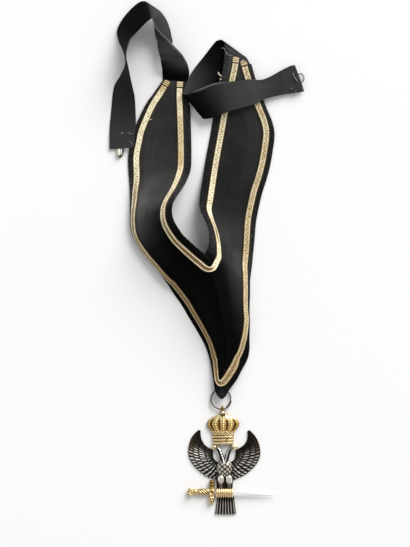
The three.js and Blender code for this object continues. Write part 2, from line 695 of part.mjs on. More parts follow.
function crownSolid() {
  const left = crownRows.map((row) => [CROWN_X - row.half, row.y]);
  const right = crownRows.map((row) => [CROWN_X + row.half, row.y]).reverse();
  const pieces = [plate([...left, ...right], 0, 2.6)];
  for (const share of [-1, -0.56, 0, 0.56, 1]) {
    const points = crownRows.map((row) => at(
      CROWN_X + share * (row.half - 1.1),
      row.y,
      2.2 + (row.high - 2.2) * Math.sqrt(Math.max(1 - 0.72 * share * share, 0.1)),
    ));
    pieces.push(bar(points, share === 0 ? 2 : 1.5, 8, 6));
  }
  const bands = [[431.6, 435.2, 4.3, 10.5], [435.2, 437.9, 5.2, 10.5], [438.3, 441.2, 4.8, 10.2],
    [441.2, 444.9, CROWN_HEIGHT, 10]];
  for (const [from, to, high, half] of bands) {
    pieces.push(plate([
      [CROWN_X - half, from], [CROWN_X + half, from], [CROWN_X + half, to], [CROWN_X - half, to],
    ], 0, high));
  }
  pieces.push(plate([
    [CROWN_X - 9.2, 431], [CROWN_X + 9.2, 431], [CROWN_X + 9.2, 444.5], [CROWN_X - 9.2, 444.5],
  ], 0, 3.9));
  pieces.push(ball(at(CROWN_X, 413, 3.1), 2.5));
  pieces.push(bar([at(CROWN_X, 412, 3.1), at(CROWN_X, 416, 3.1)], 1.8, 2));
  const hanger = wireRing(5.8, 1.3, 18, 8);
  hanger.rotateY(Math.PI / 2);
  const p = at(222.4, 408.8, 3.1);
  hanger.translate(p.x, p.y, p.z);
  pieces.push(hanger);
  return joined(pieces).trimByPlane([0, 0, 1], REST_HEIGHT);
}

// Eagle: wings, shoulders, two necks with open space between them, body, legs, claws, tail
const leftWing = [
  [198, 430.2], [194, 434], [191, 438.5], [189.2, 444], [188.4, 450], [189, 456], [191, 461],
  [194, 465.4], [198, 470], [202, 473.4], [206.5, 476.4], [212, 478.6], [218.5, 480], [221, 470],
  [217.6, 461.6], [213.6, 459.4], [212.6, 455], [213.4, 449.4], [210.6, 447], [206, 445],
  [202, 441.4], [200.2, 437.4], [200, 433.4], [201.4, 431],
];
const rightWing = [
  [248, 430.2], [252, 433.6], [256, 438.4], [258.8, 444], [260.2, 450], [260.2, 456], [258.4, 461],
  [255, 466], [251, 470], [246.6, 473.4], [242, 475.8], [237, 478.6], [231, 481], [228, 470],
  [231.6, 461.6], [235, 459.4], [236, 455], [235.2, 449.4], [238.4, 447.2], [243, 444.6],
  [247, 441], [248.8, 437.4], [248.6, 433.4], [247.4, 431.2],
];
const FEATHER_COLUMNS = ['fromX', 'fromY', 'toX', 'toY', 'width'];
const leftFeathers = named(FEATHER_COLUMNS, [
  [198.8, 437, 193.4, 446, 3], [200.4, 442, 191.6, 451, 3.2], [203.2, 446.4, 191, 455.6, 3.2],
  [206.4, 449, 192.2, 460, 3.2], [209.4, 452, 194.6, 464.6, 3.2], [211.4, 456, 198, 468.4, 3.2],
  [212.4, 460, 201.8, 471.4, 3.2], [214, 463.6, 206, 474.4, 3.2], [216, 466.4, 210.4, 476.8, 3.2],
  [218, 468, 215, 478.6, 3.2],
]);
const rightFeathers = named(FEATHER_COLUMNS, [
  [250.2, 437, 255.6, 446, 3], [248.6, 442, 257.4, 451, 3.2], [246, 446.4, 258, 455.6, 3.2],
  [242.8, 449, 256.6, 460, 3.2], [239.8, 452, 254, 464.6, 3.2], [237.6, 456, 250.6, 468.4, 3.2],
  [236.4, 460, 246.6, 471.4, 3.2], [235, 463.6, 242.6, 474, 3.2], [233, 466.4, 238.4, 476.6, 3.2],
  [231, 468, 233.8, 478.6, 3.2],
]);

function wingPieces(outline, feathers) {
  const pieces = [plate(outline, 0, WING_THICKNESS)];
  for (const row of feathers) {
    const high = WING_THICKNESS;
    pieces.push(rib(at(row.fromX, row.fromY, high), at(row.toX, row.toY, high), row.width, 0.95));
  }
  return pieces;
}

function eagleSolid() {
  const pieces = [...wingPieces(leftWing, leftFeathers), ...wingPieces(rightWing, rightFeathers)];
  const necks = [
    [[217.4, 447.8], [220.2, 452], [221.6, 457.6], [223, 464]],
    [[231, 447.8], [228.2, 452], [226.4, 457.6], [225.4, 464]],
  ];
  for (const neck of necks) {
    pieces.push(bar(neck.map(([x, y], i) => at(x, y, 2.7 + i * 0.2)), 1.9, 7, 7));
  }
  for (const [x, side] of [[217.2, -1], [231.2, 1]]) {
    pieces.push(ball(at(x, 447.9, 2.8), 2.5));
    const beak = new THREE.ConeGeometry(1.5, 6, 6);
    beak.rotateZ(side * -Math.PI * 0.5);
    const p = at(x + side * 4, 447.5, 2.8);
    beak.translate(p.x, p.y, p.z);
    pieces.push(beak);
  }
  pieces.push(ball(at(224.5, 467.6, 2.9), 8, [1, 1.12, 0.42], 14, 9));
  for (const x of [220.4, 228.6]) {
    pieces.push(bar([at(x, 474, 2.8), at(x, 480, 3), at(x, 486, 2.8), at(x, 489.6, 2)], 2.7, 6, 7));
  }
  pieces.push(plate([[216, 474], [233, 474], [232.2, 489], [233.6, 497], [236.2, 514.4],
    [215.8, 514.4], [217, 497], [217, 489]], 0, TAIL_THICKNESS));
  for (let i = 0; i < 7; i++) {
    const share = (i - 3) / 3;
    pieces.push(rib(at(225.4 + share * 6.6, 496.6, 2), at(225.8 + share * 8.4, 513.8, 2), 2.7, 0.9));
  }
  for (let i = 0; i < 8; i++) {
    const x = 217.2 + i * 2.13;
    pieces.push(bar([at(x, 488.4, 2), at(x, 489.6, 4.2), at(x, 492.9, 5.4), at(x, 496, 4.2),
      at(x, 497.4, 1.6)], 0.95, 7, 6));
  }
  const channel = plate([[200, 490.2], [250, 490.2], [250, 495.8], [200, 495.8]], 2.1, 4.35);
  return joined(pieces).subtract(solidOf(channel)).trimByPlane([0, 0, 1], REST_HEIGHT);
}

// Sword: gilt hilt up to the guard, and the blade that passes under the claws
function hiltSolid() {
  const z = 3.1;
  const grip = new THREE.LatheGeometry([
    [0, 0], [1.6, 0.2], [3.4, 2], [3.9, 4.2], [3.3, 6.4], [2, 8.4], [2.5, 9.4], [2.1, 10.4],
    [3.2, 13], [3.4, 17], [2.9, 21], [2, 22.4], [2, 23.8], [0, 23.8],
  ].map(([r, x]) => new THREE.Vector2(r, x)), 12);
  grip.rotateZ(-Math.PI / 2);
  grip.scale(1, 1, 0.78);
  const p = at(186.8, 491.7, z);
  grip.translate(p.x, p.y, p.z);
  const guard = new THREE.LatheGeometry([
    [0, 0], [1, 0.4], [2.5, 3], [2, 5.4], [2.6, 8.4], [2.9, 12.6], [2.6, 16.6], [3, 18.4],
    [2.4, 20.4], [1.7, 23.2], [0.6, 26], [0, 26.4],
  ].map(([r, y]) => new THREE.Vector2(r, y)), 10);
  guard.rotateZ(Math.PI);
  guard.scale(1, 1, 0.9);
  const g = at(212.2, 479.9, z);
  guard.translate(g.x, g.y, g.z);
  return joined([grip, guard, ball(at(212.6, 491.6, z + 1.2), 2.7, [1, 1, 0.6])]);
}

function bladeSolid() {
  const low = 3.2 - BLADE_THICKNESS / 2;
  const high = 3.2 + BLADE_THICKNESS / 2;
  const middle = 493.6;
  const half = BLADE_HEIGHT / 2 + 0.6;
  const flat = plate([
    [215.4, middle - half], [236, middle - half], [262, middle - half + 1], [277, middle + 1.2],
    [262, middle + half], [236, middle + half], [215.4, middle + half],
  ], low, high);
  return solidOf(flat);
}

const SILVER = { color: 0xb9b9b4, metalness: 1, roughness: 0.35 };
const BLACK_CLOTH = { color: 0x17171a, metalness: 0, roughness: 0.9 };
const GILT = { color: 0xd2a84a, metalness: 1, roughness: 0.35 };
const BRAID = { color: 0xc9b27a, metalness: 0.5, roughness: 0.5 };

const group = new THREE.Group();
function add(name, geometry, finish) {
  const mesh = new THREE.Mesh(geometry, new THREE.MeshStandardMaterial(finish));
  mesh.name = name;
  group.add(mesh);
}

add('left_band', bandGeometry(leftArm, 2), BLACK_CLOTH);
add('right_band', bandGeometry(rightArm, 2), BLACK_CLOTH);
add('inner_braid', braidGeometry('inner', 9.9, 10.3, 133), BRAID);
add('outer_braid', braidGeometry('outer', 2.2, 2.2, 14.5), BRAID);
add('left_strap', strapGeometry(leftStrapRows, 2, CURLED_STRAP_CELLS), BLACK_CLOTH);
add('right_strap', strapGeometry(rightStrapRows, 2, FLAT_STRAP_CELLS), BLACK_CLOTH);
add('hook', geometryOf(hookSolid()), SILVER);
add('eye', geometryOf(eyeSolid()), SILVER);
add('ring_loop', geometryOf(ringLoopSolid()), BLACK_CLOTH);
add('ring', geometryOf(ringSolid()), SILVER);
add('crown', geometryOf(crownSolid()), GILT);
add('eagle', geometryOf(eagleSolid()), { ...SILVER, color: 0x6a675f });
add('sword_hilt', geometryOf(hiltSolid()), GILT);
add('sword_blade', geometryOf(bladeSolid()), SILVER);

export default group;
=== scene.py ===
import bpy
import numpy as np
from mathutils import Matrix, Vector


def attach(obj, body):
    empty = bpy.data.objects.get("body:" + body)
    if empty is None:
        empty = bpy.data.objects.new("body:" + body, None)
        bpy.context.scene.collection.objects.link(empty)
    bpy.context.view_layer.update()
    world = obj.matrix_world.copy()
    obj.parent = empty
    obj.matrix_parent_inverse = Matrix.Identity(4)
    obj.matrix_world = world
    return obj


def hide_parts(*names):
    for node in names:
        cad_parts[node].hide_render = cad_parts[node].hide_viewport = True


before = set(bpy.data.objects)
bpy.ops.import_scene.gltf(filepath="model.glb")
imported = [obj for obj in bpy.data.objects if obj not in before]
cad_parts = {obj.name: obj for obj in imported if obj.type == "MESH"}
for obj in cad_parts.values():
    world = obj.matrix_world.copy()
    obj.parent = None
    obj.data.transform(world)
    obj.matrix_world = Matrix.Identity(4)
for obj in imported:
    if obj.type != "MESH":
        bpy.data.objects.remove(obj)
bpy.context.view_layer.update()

print("stage: frame loaded,", len(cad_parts), "nodes")

mm = 0.001
planMiddle = (206.94, 258.14)  # the plan point, counted right and down, that is the origin
upward = np.array([0.0, 0.0, 1.0])
fullTurn = 2 * np.pi
lowest = 0.02  # height of the flat backs, and of cloth that lies on the table


# shapes: every surface is a grid of points worked out as whole arrays, in mm

def stacked(*parts):  # numbers and arrays side by side, as the parts of points
    return np.stack(np.broadcast_arrays(*parts), -1)


def plan(*parts):  # plan x right, y down and height, whole or part by part, to x, y up and height
    if len(parts) == 1:
        parts = np.moveaxis(np.asarray(parts[0], float), -1, 0)
    return stacked(parts[0] - planMiddle[0], planMiddle[1] - parts[1], parts[2])


def column(low, high, count):  # even places down a grid
    return np.linspace(low, high, count)[:, None]


def around(count):  # even angles once round
    return np.linspace(0, fullTurn, count, endpoint=False)


def unit(vectors):
    return vectors / np.maximum(np.linalg.norm(vectors, axis=-1, keepdims=True), 1e-9)


def smooth(low, high, values):  # 0 below low, 1 above high, a smooth S between
    x = np.clip((values - low) / (high - low), 0, 1)
    return x * x * (3 - 2 * x)


def hump(values, middle, width):  # 1 at the middle, falling away on both sides
    return np.exp(-((values - middle) / width) ** 2)


def alongRows(table, t):  # a smooth curve through the rows of a table, at the places t
    table = np.asarray(table, float)
    last = len(table) - 1
    k = np.clip(np.floor(t).astype(int), 0, last - 1)
    u = (t - k)[..., None]
    a, b = table[np.maximum(k - 1, 0)], table[k]
    c, d = table[k + 1], table[np.minimum(k + 2, last)]
    leave, arrive = (c - a) / 2, (d - b) / 2
    return (b + leave * (u ** 3 - 2 * u ** 2 + u) + (c - b) * (3 * u ** 2 - 2 * u ** 3)
            + arrive * (u ** 3 - u ** 2))


def through(points, count):  # a smooth line of that many points through a few plan points
    return alongRows(plan(points), np.linspace(0, len(points) - 1, count))


def profile(table, count, curved=False):
    # even places along the first column of a table, and its other columns there
    rows = np.array(table)
    spots = np.linspace(rows[0, 0], rows[-1, 0], count)
    if curved:
        t = np.interp(spots, rows[:, 0], np.arange(len(rows)))
        values = alongRows(rows[:, 1:], t).T
    else:
        values = [np.interp(spots, rows[:, 0], line) for line in rows[:, 1:].T]
    return spots[:, None], *(value[:, None] for value in values)


def placed(name, data):  # a new object in the scene
    made = bpy.data.objects.new(name, data)
    bpy.context.scene.collection.objects.link(made)
    return made


def walked(points):  # distance along a line of points, from its first
    steps = np.linalg.norm(np.diff(points, axis=0), axis=-1)
    return np.concatenate([[0], np.cumsum(steps)])


def facesOut(points, faces):  # turns the faces so that the closed shape has a positive volume
    a, b, c, d = (points[faces[:, k]] for k in range(4))
    volume = (a * np.cross(b, c)).sum() + (a * np.cross(c, d)).sum()
    return faces if volume > 0 else faces[:, ::-1]


def roundFaces(rows, sides, closed=False):  # quads round each ring and from ring to ring
    i = np.arange(rows if closed else rows - 1)[:, None]
    j = np.arange(sides)
    ahead, after = (i + 1) % rows * sides, (j + 1) % sides
    return stacked(i * sides + j, i * sides + after, ahead + after, ahead + j).reshape(-1, 4)


def flatFaces(rows, sides, apart=1):
    # the same for a flat tube, with quads across both ends from point j to point -apart - j
    k = np.arange(sides // 2 - apart % 2) - apart // 2
    first = stacked(k, -apart - k, -apart - k - 1, k + 1) % sides
    return np.concatenate([roundFaces(rows, sides), first, first[:, ::-1] + (rows - 1) * sides])


class Shape:  # gathers closed surfaces, and values for the shader at each of their points
    def __init__(self, name):
        self.name, self.parts = name, []

    def put(self, points, faces, **values):
        spread = {key: np.broadcast_to(value, points.shape[:-1]).ravel()
                  for key, value in values.items()}
        points = points.reshape(-1, 3)
        count = sum(len(part[0]) for part in self.parts)
        self.parts.append((points, facesOut(points, faces) + count, spread))
        return self

    def made(self):
        points, faces, spreads = zip(*self.parts)
        faces = np.concatenate(faces)
        ordered = np.sort(faces, axis=1)
        doubled = (ordered[:, 1:] == ordered[:, :-1]).any(1)
        threes = [list(dict.fromkeys(face)) for face in faces[doubled].tolist()]
        mesh = bpy.data.meshes.new(self.name)
        mesh.from_pydata((np.concatenate(points) * mm).tolist(), [],
                         faces[~doubled].tolist() + threes)
        mesh.polygons.foreach_set("use_smooth", np.ones(len(mesh.polygons), bool))
        whole = {}
        for key in dict.fromkeys(key for spread in spreads for key in spread):
            parts = [spread.get(key, np.zeros(len(part))) for part, spread in zip(points, spreads)]
            whole[key] = np.concatenate(parts).astype(np.float32)
        if "along" in whole:
            corner = np.empty(len(mesh.loops), np.int32)
            mesh.loops.foreach_get("vertex_index", corner)
            flat = stacked(whole.pop("along"), whole.pop("across"))[corner]
            mesh.uv_layers.new(name="flat").data.foreach_set("uv", flat.ravel())
        for key, value in whole.items():
            mesh.attributes.new(key, "FLOAT", "POINT").data.foreach_set("value", value)
        return placed(self.name, mesh)

    # rings whose first and last have shrunk to a point each
    def rings(self, grid, **values):
        rows, sides = grid.shape[:2]
        count = (rows - 2) * sides
        j = np.arange(sides)
        after, end = (j + 1) % sides, count - sides
        faces = np.concatenate([roundFaces(rows - 2, sides), stacked(count, after, j, j),
                                stacked(count + 1, end + j, end + after, end + after)])

        def joined(cells):
            return np.concatenate([cells[1:-1].reshape(count, *cells.shape[2:]), cells[[0, -1], 0]])

        values = {key: joined(np.broadcast_to(value, (rows, sides)))
                  for key, value in values.items()}
        return self.put(joined(grid), faces, **values)

    # rings with a point set at each end
    def tube(self, grid, first, last, **values):
        first, last = (np.broadcast_to(end, grid[:1].shape) for end in (first, last))
        values = {key: np.pad(np.broadcast_to(value, grid.shape[:2]), ((1, 1), (0, 0)), "edge")
                  for key, value in values.items()}
        return self.rings(np.concatenate([first, grid, last]), **values)

    # a round or flattened bar: circles carried along a path, standing upright to the table, or
    # turned towards +y where the path itself is upright
    def bar(self, path, radius, sides, squash=1.0, closed=False, **values):
        ahead = np.roll(path, -1, 0) - np.roll(path, 1, 0) if closed else np.gradient(path, axis=0)
        heading = unit(ahead)
        steep = smooth(0.8, 0.97, np.abs(heading[:, 2:]))
        side = unit(np.cross(heading, unit(upward * (1 - steep) + np.array([0, 1, 0]) * steep)))
        lift = np.cross(side, heading)
        turn = around(sides)[:, None]
        circle = side[:, None] * np.cos(turn) + lift[:, None] * np.sin(turn) * squash
        grid = path[:, None] + circle * np.broadcast_to(radius, (len(path), sides))[..., None]
        if closed:
            return self.put(grid, roundFaces(len(path), sides, True), **values)
        return self.tube(grid, path[0], path[-1], **values)

    # a closed hoop of wire, level, round a plan place
    def hoop(self, place, radius, wire, count, sides, **values):
        turn = around(count)
        path = plan(place) + radius * stacked(np.cos(turn), np.sin(turn), 0)
        return self.bar(path, wire, sides, closed=True, **values)

    # a ball stretched to three radii; pattern is a share of extra radius
    def ball(self, place, radii, rows, sides, pattern=0.0, **values):
        down, turn = column(0, np.pi, rows), around(sides)
        grid = stacked(np.sin(down) * np.cos(turn), np.cos(down), np.sin(down) * np.sin(turn))
        grid = grid * radii * (1 + np.asarray(pattern))[..., None]
        return self.rings(grid + plan(place), **values)

    # a relief: heights over plan places, closed by a flat back
    def relief(self, x, y, height, **values):
        top, back = plan(x, y, np.maximum(height, lowest + 0.05)), plan(x, y, lowest + 0 * height)
        values = {key: np.concatenate([np.broadcast_to(value, height.shape), 0 * height], 1)
                  for key, value in values.items()}
        grid = np.concatenate([top, back[:, ::-1]], 1)
        return self.put(grid, flatFaces(*grid.shape[:2]), **values)


def dress(shape, material, node=None):  # what every piece of the object has in common
    piece = shape.made()
    piece.data.materials.append(material)
    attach(piece, "root")
    if node:
        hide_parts(node)
    return piece


# materials: shader maths written as expressions

class Value:  # one socket of a shader, with the operators that the finishes use
    def __init__(self, finish, socket):
        self.finish, self.socket = finish, socket

    def maths(self, operation, *sockets):
        return self.finish.node("ShaderNodeMath", {"operation": operation}, sockets)

    def __add__(self, other): return self.maths("ADD", self, other)
    def __radd__(self, other): return self.maths("ADD", other, self)
    def __sub__(self, other): return self.maths("SUBTRACT", self, other)
    def __rsub__(self, other): return self.maths("SUBTRACT", other, self)
    def __mul__(self, other): return self.maths("MULTIPLY", self, other)
    def __rmul__(self, other): return self.maths("MULTIPLY", other, self)

    def clamp(self):
        return self.finish.node("ShaderNodeClamp", {}, [self])

    def wave(self, length):
        return self.maths("SINE", self * (fullTurn / length))

    def ramp(self, low, high):  # 0 below low, 1 above high
        return self.finish.node("ShaderNodeMapRange", {"interpolation_type": "SMOOTHSTEP"},
                                {"Value": self, "From Min": low, "From Max": high})


class Finish:  # a material, its Principled shader and the one method that adds any node
    def __init__(self, name, **fixed):
        self.material = bpy.data.materials.new(name)
        self.material.use_nodes = True
        self.tree = self.material.node_tree
        self.shader = self.tree.nodes["Principled BSDF"]
        for key, value in fixed.items():
            self.shader.inputs[key.replace("_", " ")].default_value = value
        self.place = self.node("ShaderNodeTexCoord", {}, {}, "Object")

    def node(self, kind, settings=None, sockets=(), out=0):
        made = self.tree.nodes.new(kind)
        for key, value in (settings or {}).items():
            setattr(made, key, value)
        pairs = sockets.items() if isinstance(sockets, dict) else enumerate(sockets)
        for key, value in pairs:
            if isinstance(value, Value):
                self.tree.links.new(value.socket, made.inputs[key])
            else:
                made.inputs[key].default_value = value
        return Value(self, made.outputs[out])

    def attribute(self, name):
        return self.node("ShaderNodeAttribute", {"attribute_name": name}, {}, "Fac")

    def flat(self):  # the place on the cloth laid flat, in mm: along and across
        whole = self.node("ShaderNodeUVMap", {"uv_map": "flat"})
        along = self.node("ShaderNodeSeparateXYZ", {}, [whole])
        return whole, along, Value(self, along.socket.node.outputs[1])

    def stretched(self, vector, scale):
        return self.node("ShaderNodeVectorMath", {"operation": "MULTIPLY"}, [vector, scale])

    def noise(self, vector, scale, detail=3.0, roughness=0.55):
        return self.node("ShaderNodeTexNoise", {}, {"Vector": vector, "Scale": scale,
                                                    "Detail": detail, "Roughness": roughness})

    def mix(self, factor, first, second):
        first, second = ((*c, 1) if isinstance(c, tuple) else c for c in (first, second))
        colours = {0: factor, 6: first, 7: second}
        return self.node("ShaderNodeMix", {"data_type": "RGBA"}, colours, 2)

    def bump(self, height, distance, strength):
        return self.node("ShaderNodeBump", {}, {"Height": height, "Distance": distance,
                                                "Strength": strength})

    def link(self, colour, normal, roughness):
        for key, value in (("Base Color", colour), ("Normal", normal), ("Roughness", roughness)):
            self.tree.links.new(value.socket, self.shader.inputs[key])
        return self.material


def ribbedRibbon(name, cord, thread, black, worn, dustAndHighlight):
    # fine cords along the length, threads across, slow streaks, a speckled margin, and painted
    # light and shade from the nap attribute
    finish = Finish(name, Specular_IOR_Level=0.03, Sheen_Weight=0.003, Sheen_Roughness=0.4)
    whole, along, across = finish.flat()
    streaks = finish.noise(finish.stretched(whole, (0.006, 0.5, 1)), 1.0, 4.0, 0.6)
    broad = finish.noise(finish.place, 28.0, 2.0).ramp(0.35, 0.7)
    speckle = finish.noise(whole, 1.1, 2.0, 0.7)
    margin, nap = finish.attribute("margin"), finish.attribute("nap")
    cords, threads = across.wave(cord), (along + across * 0.3).wave(thread)
    height = cords * 0.5 + threads * 0.45 + (speckle - 0.5) * (margin * 3.0 + 0.6)
    # painted light and shade: streaks and cords times nap, from black towards worn, the grey of the
    # cloth in full painted light
    shade = (streaks.ramp(0.38, 0.72) * 0.08 + broad * 0.12 + cords * 0.02 + 0.21) * nap
    colour = finish.mix((shade * (1 - margin * 0.75)).clamp(), black, worn)
    # dust specks on the margin, drawn stronger where the painted light is
    dust = (margin * (nap * 0.6 + 0.1) * speckle.ramp(0.5, 0.68) * 0.8).clamp()
    return finish.link(finish.mix(dust, colour, dustAndHighlight), finish.bump(height, 0.0002, 0.9),
                       0.74 - streaks * 0.25)


def plainRibbon(name, rib, black, worn, dustAndHighlight):
    # fine ribs across, slow streaks and lint, a rough hem, a painted highlight along the selvage,
    # and painted light and shade from the nap attribute
    finish = Finish(name, Specular_IOR_Level=0.02, Sheen_Weight=0.002, Sheen_Roughness=0.4)
    whole, along, across = finish.flat()
    streaks = finish.noise(finish.stretched(whole, (0.008, 0.4, 1)), 1.0, 4.0, 0.6)
    lint = finish.noise(whole, 0.9, 3.0, 0.75)
    ribs = along.wave(rib)
    hem, nap, selvage = (finish.attribute(key) for key in ("hem", "nap", "selvage"))
    height = ribs * 0.5 + (lint - 0.5) * (0.8 + hem * 2.5)
    shade = streaks.ramp(0.35, 0.75) * 0.05 + lint.ramp(0.5, 0.8) * 0.07 + ribs * 0.02 + 0.28
    # painted light and shade: streaks and lint times nap, from black towards worn, the grey in full
    # painted light
    colour = finish.mix((shade * nap).clamp(), black, worn)
    # edge: lint on the hem, and the painted highlight along the selvage
    edge = hem * lint.ramp(0.52, 0.72) * 0.3 + selvage * (lint.ramp(0.3, 0.6) * 0.35 + 0.25)
    return finish.link(finish.mix(edge.clamp(), colour, dustAndHighlight), finish.bump(height, 0.00016, 0.8),
                       0.68 - streaks * 0.2)


def laceMetal(name, bright, tan, brown, shadow):
    # cream on the ridges, partly a painted highlight; brown in the middle groove, partly painted
    # shade; nearly black beside the sewn edges, a painted shadow
    finish = Finish(name, Metallic=0.12)
    relief, worn = finish.attribute("relief"), finish.attribute("worn")
    grain = finish.noise(finish.place, 1300.0, 2.0, 0.6)
    patch = finish.noise(finish.place, 160.0, 3.0)
    level = relief + (grain - 0.5) * 0.3
    # worn pushes the tone to tan: real wear, and painted shade on the outer lace's steep lower left
    tone = finish.mix((patch.ramp(0.35, 0.7) * 0.45 + worn).clamp(), bright, tan)
    # painted shade by relief: brown low in the groove, the shadow colour at the lowest relief
    # beside the edges
    colour = finish.mix(level.ramp(0.38, 0.85), brown, tone)
    colour = finish.mix(level.ramp(0.02, 0.36), shadow, colour)
    return finish.link(colour, finish.bump(grain, 0.0001, 0.5), 0.5 - relief * 0.16)


def castMetal(name, bright, middle, deep, worn, gold=None):
    # bright where the relief stands up, tarnished in its hollows, with a fine cast grain
    finish = Finish(name, Metallic=1.0)
    relief = finish.attribute("relief")
    grain = finish.noise(finish.place, 1100.0, 3.0, 0.6)
    patch = finish.noise(finish.place, 190.0, 4.0, 0.65)
    high = (relief + (patch - 0.5) * 0.4).ramp(worn - 0.3, worn + 0.3)
    hollow = (1 - (relief + (grain - 0.5) * 0.2).ramp(0.0, 0.4)).clamp()
    tone = finish.mix(hollow, finish.mix(high, middle, bright), deep)
    if gold:
        warm = finish.mix((relief + (patch - 0.5) * 0.3).ramp(0.1, 0.7), gold[1], gold[0])
        tone = finish.mix(finish.attribute("gilded"), tone, warm)
    return finish.link(tone, finish.bump(grain, 0.0001, 0.4), 0.5 - high * 0.24)


def wireMetal(name, bright, dull, roughness, metallic):
    # drawn wire with fine scratches, dulled in patches and by its own tarnish
    finish = Finish(name, Metallic=metallic)
    patch = finish.noise(finish.place, 240.0, 4.0, 0.65)
    scratch = finish.noise(finish.stretched(finish.place, (300.0, 1500.0, 1500.0)), 1.0, 2.0)
    dulled = (patch.ramp(0.5, 0.75) * 0.6 + finish.attribute("tarnish")).clamp()
    return finish.link(finish.mix(dulled, bright, dull), finish.bump(scratch, 0.00005, 0.4),
                       roughness + patch * 0.15)


def sewingThread(name, colour, light):
    finish = Finish(name, Sheen_Weight=0.2)
    twist = finish.noise(finish.place, 2400.0, 1.0)
    return finish.link(finish.mix(twist.ramp(0.35, 0.65), colour, light),
                       finish.bump(twist, 0.0001, 0.6), 0.9 - twist * 0.2)


# ribbon colours: black, worn as the grey under full painted light, dustAndHighlight for dust and
# painted highlights; the lace's last colour is a painted shadow
ribbonCloth = ribbedRibbon("ribbed black ribbon", 1.15, 0.62, (0.0012, 0.0011, 0.0009),
                           (0.135, 0.134, 0.131), (0.22, 0.22, 0.222))
strapCloth = plainRibbon("plain black ribbon", 0.55, (0.0012, 0.0011, 0.0011),
                         (0.165, 0.16, 0.168), (0.36, 0.35, 0.34))
laceGold = laceMetal("pale gold lace", (1.0, 0.93, 0.66), (0.55, 0.42, 0.2),
                     (0.24, 0.14, 0.045), (0.03, 0.018, 0.006))
gilt = castMetal("gilt casting", (1.0, 0.83, 0.48), (0.55, 0.35, 0.09), (0.085, 0.05, 0.014), 0.55)
oxidised = castMetal("oxidised silver", (0.95, 0.93, 0.88), (0.07, 0.062, 0.05),
                     (0.008, 0.007, 0.006), 0.6, ((1.0, 0.78, 0.42), (0.35, 0.2, 0.07)))
polished = wireMetal("polished silver", (0.97, 0.97, 0.97), (0.86, 0.86, 0.87), 0.2, 0.4)
plated = wireMetal("plated wire", (0.97, 0.97, 0.84), (0.05, 0.048, 0.028), 0.3, 0.35)
ringMetal = wireMetal("tarnished ring", (0.2, 0.165, 0.135), (0.055, 0.045, 0.037), 0.3, 1.0)
greyThread = sewingThread("grey sewing thread", (0.07, 0.07, 0.072), (0.3, 0.3, 0.305))
paleThread = sewingThread("loose lace thread", (0.5, 0.43, 0.28), (0.9, 0.85, 0.7))
print("stage: materials")


# the two arms of the collar

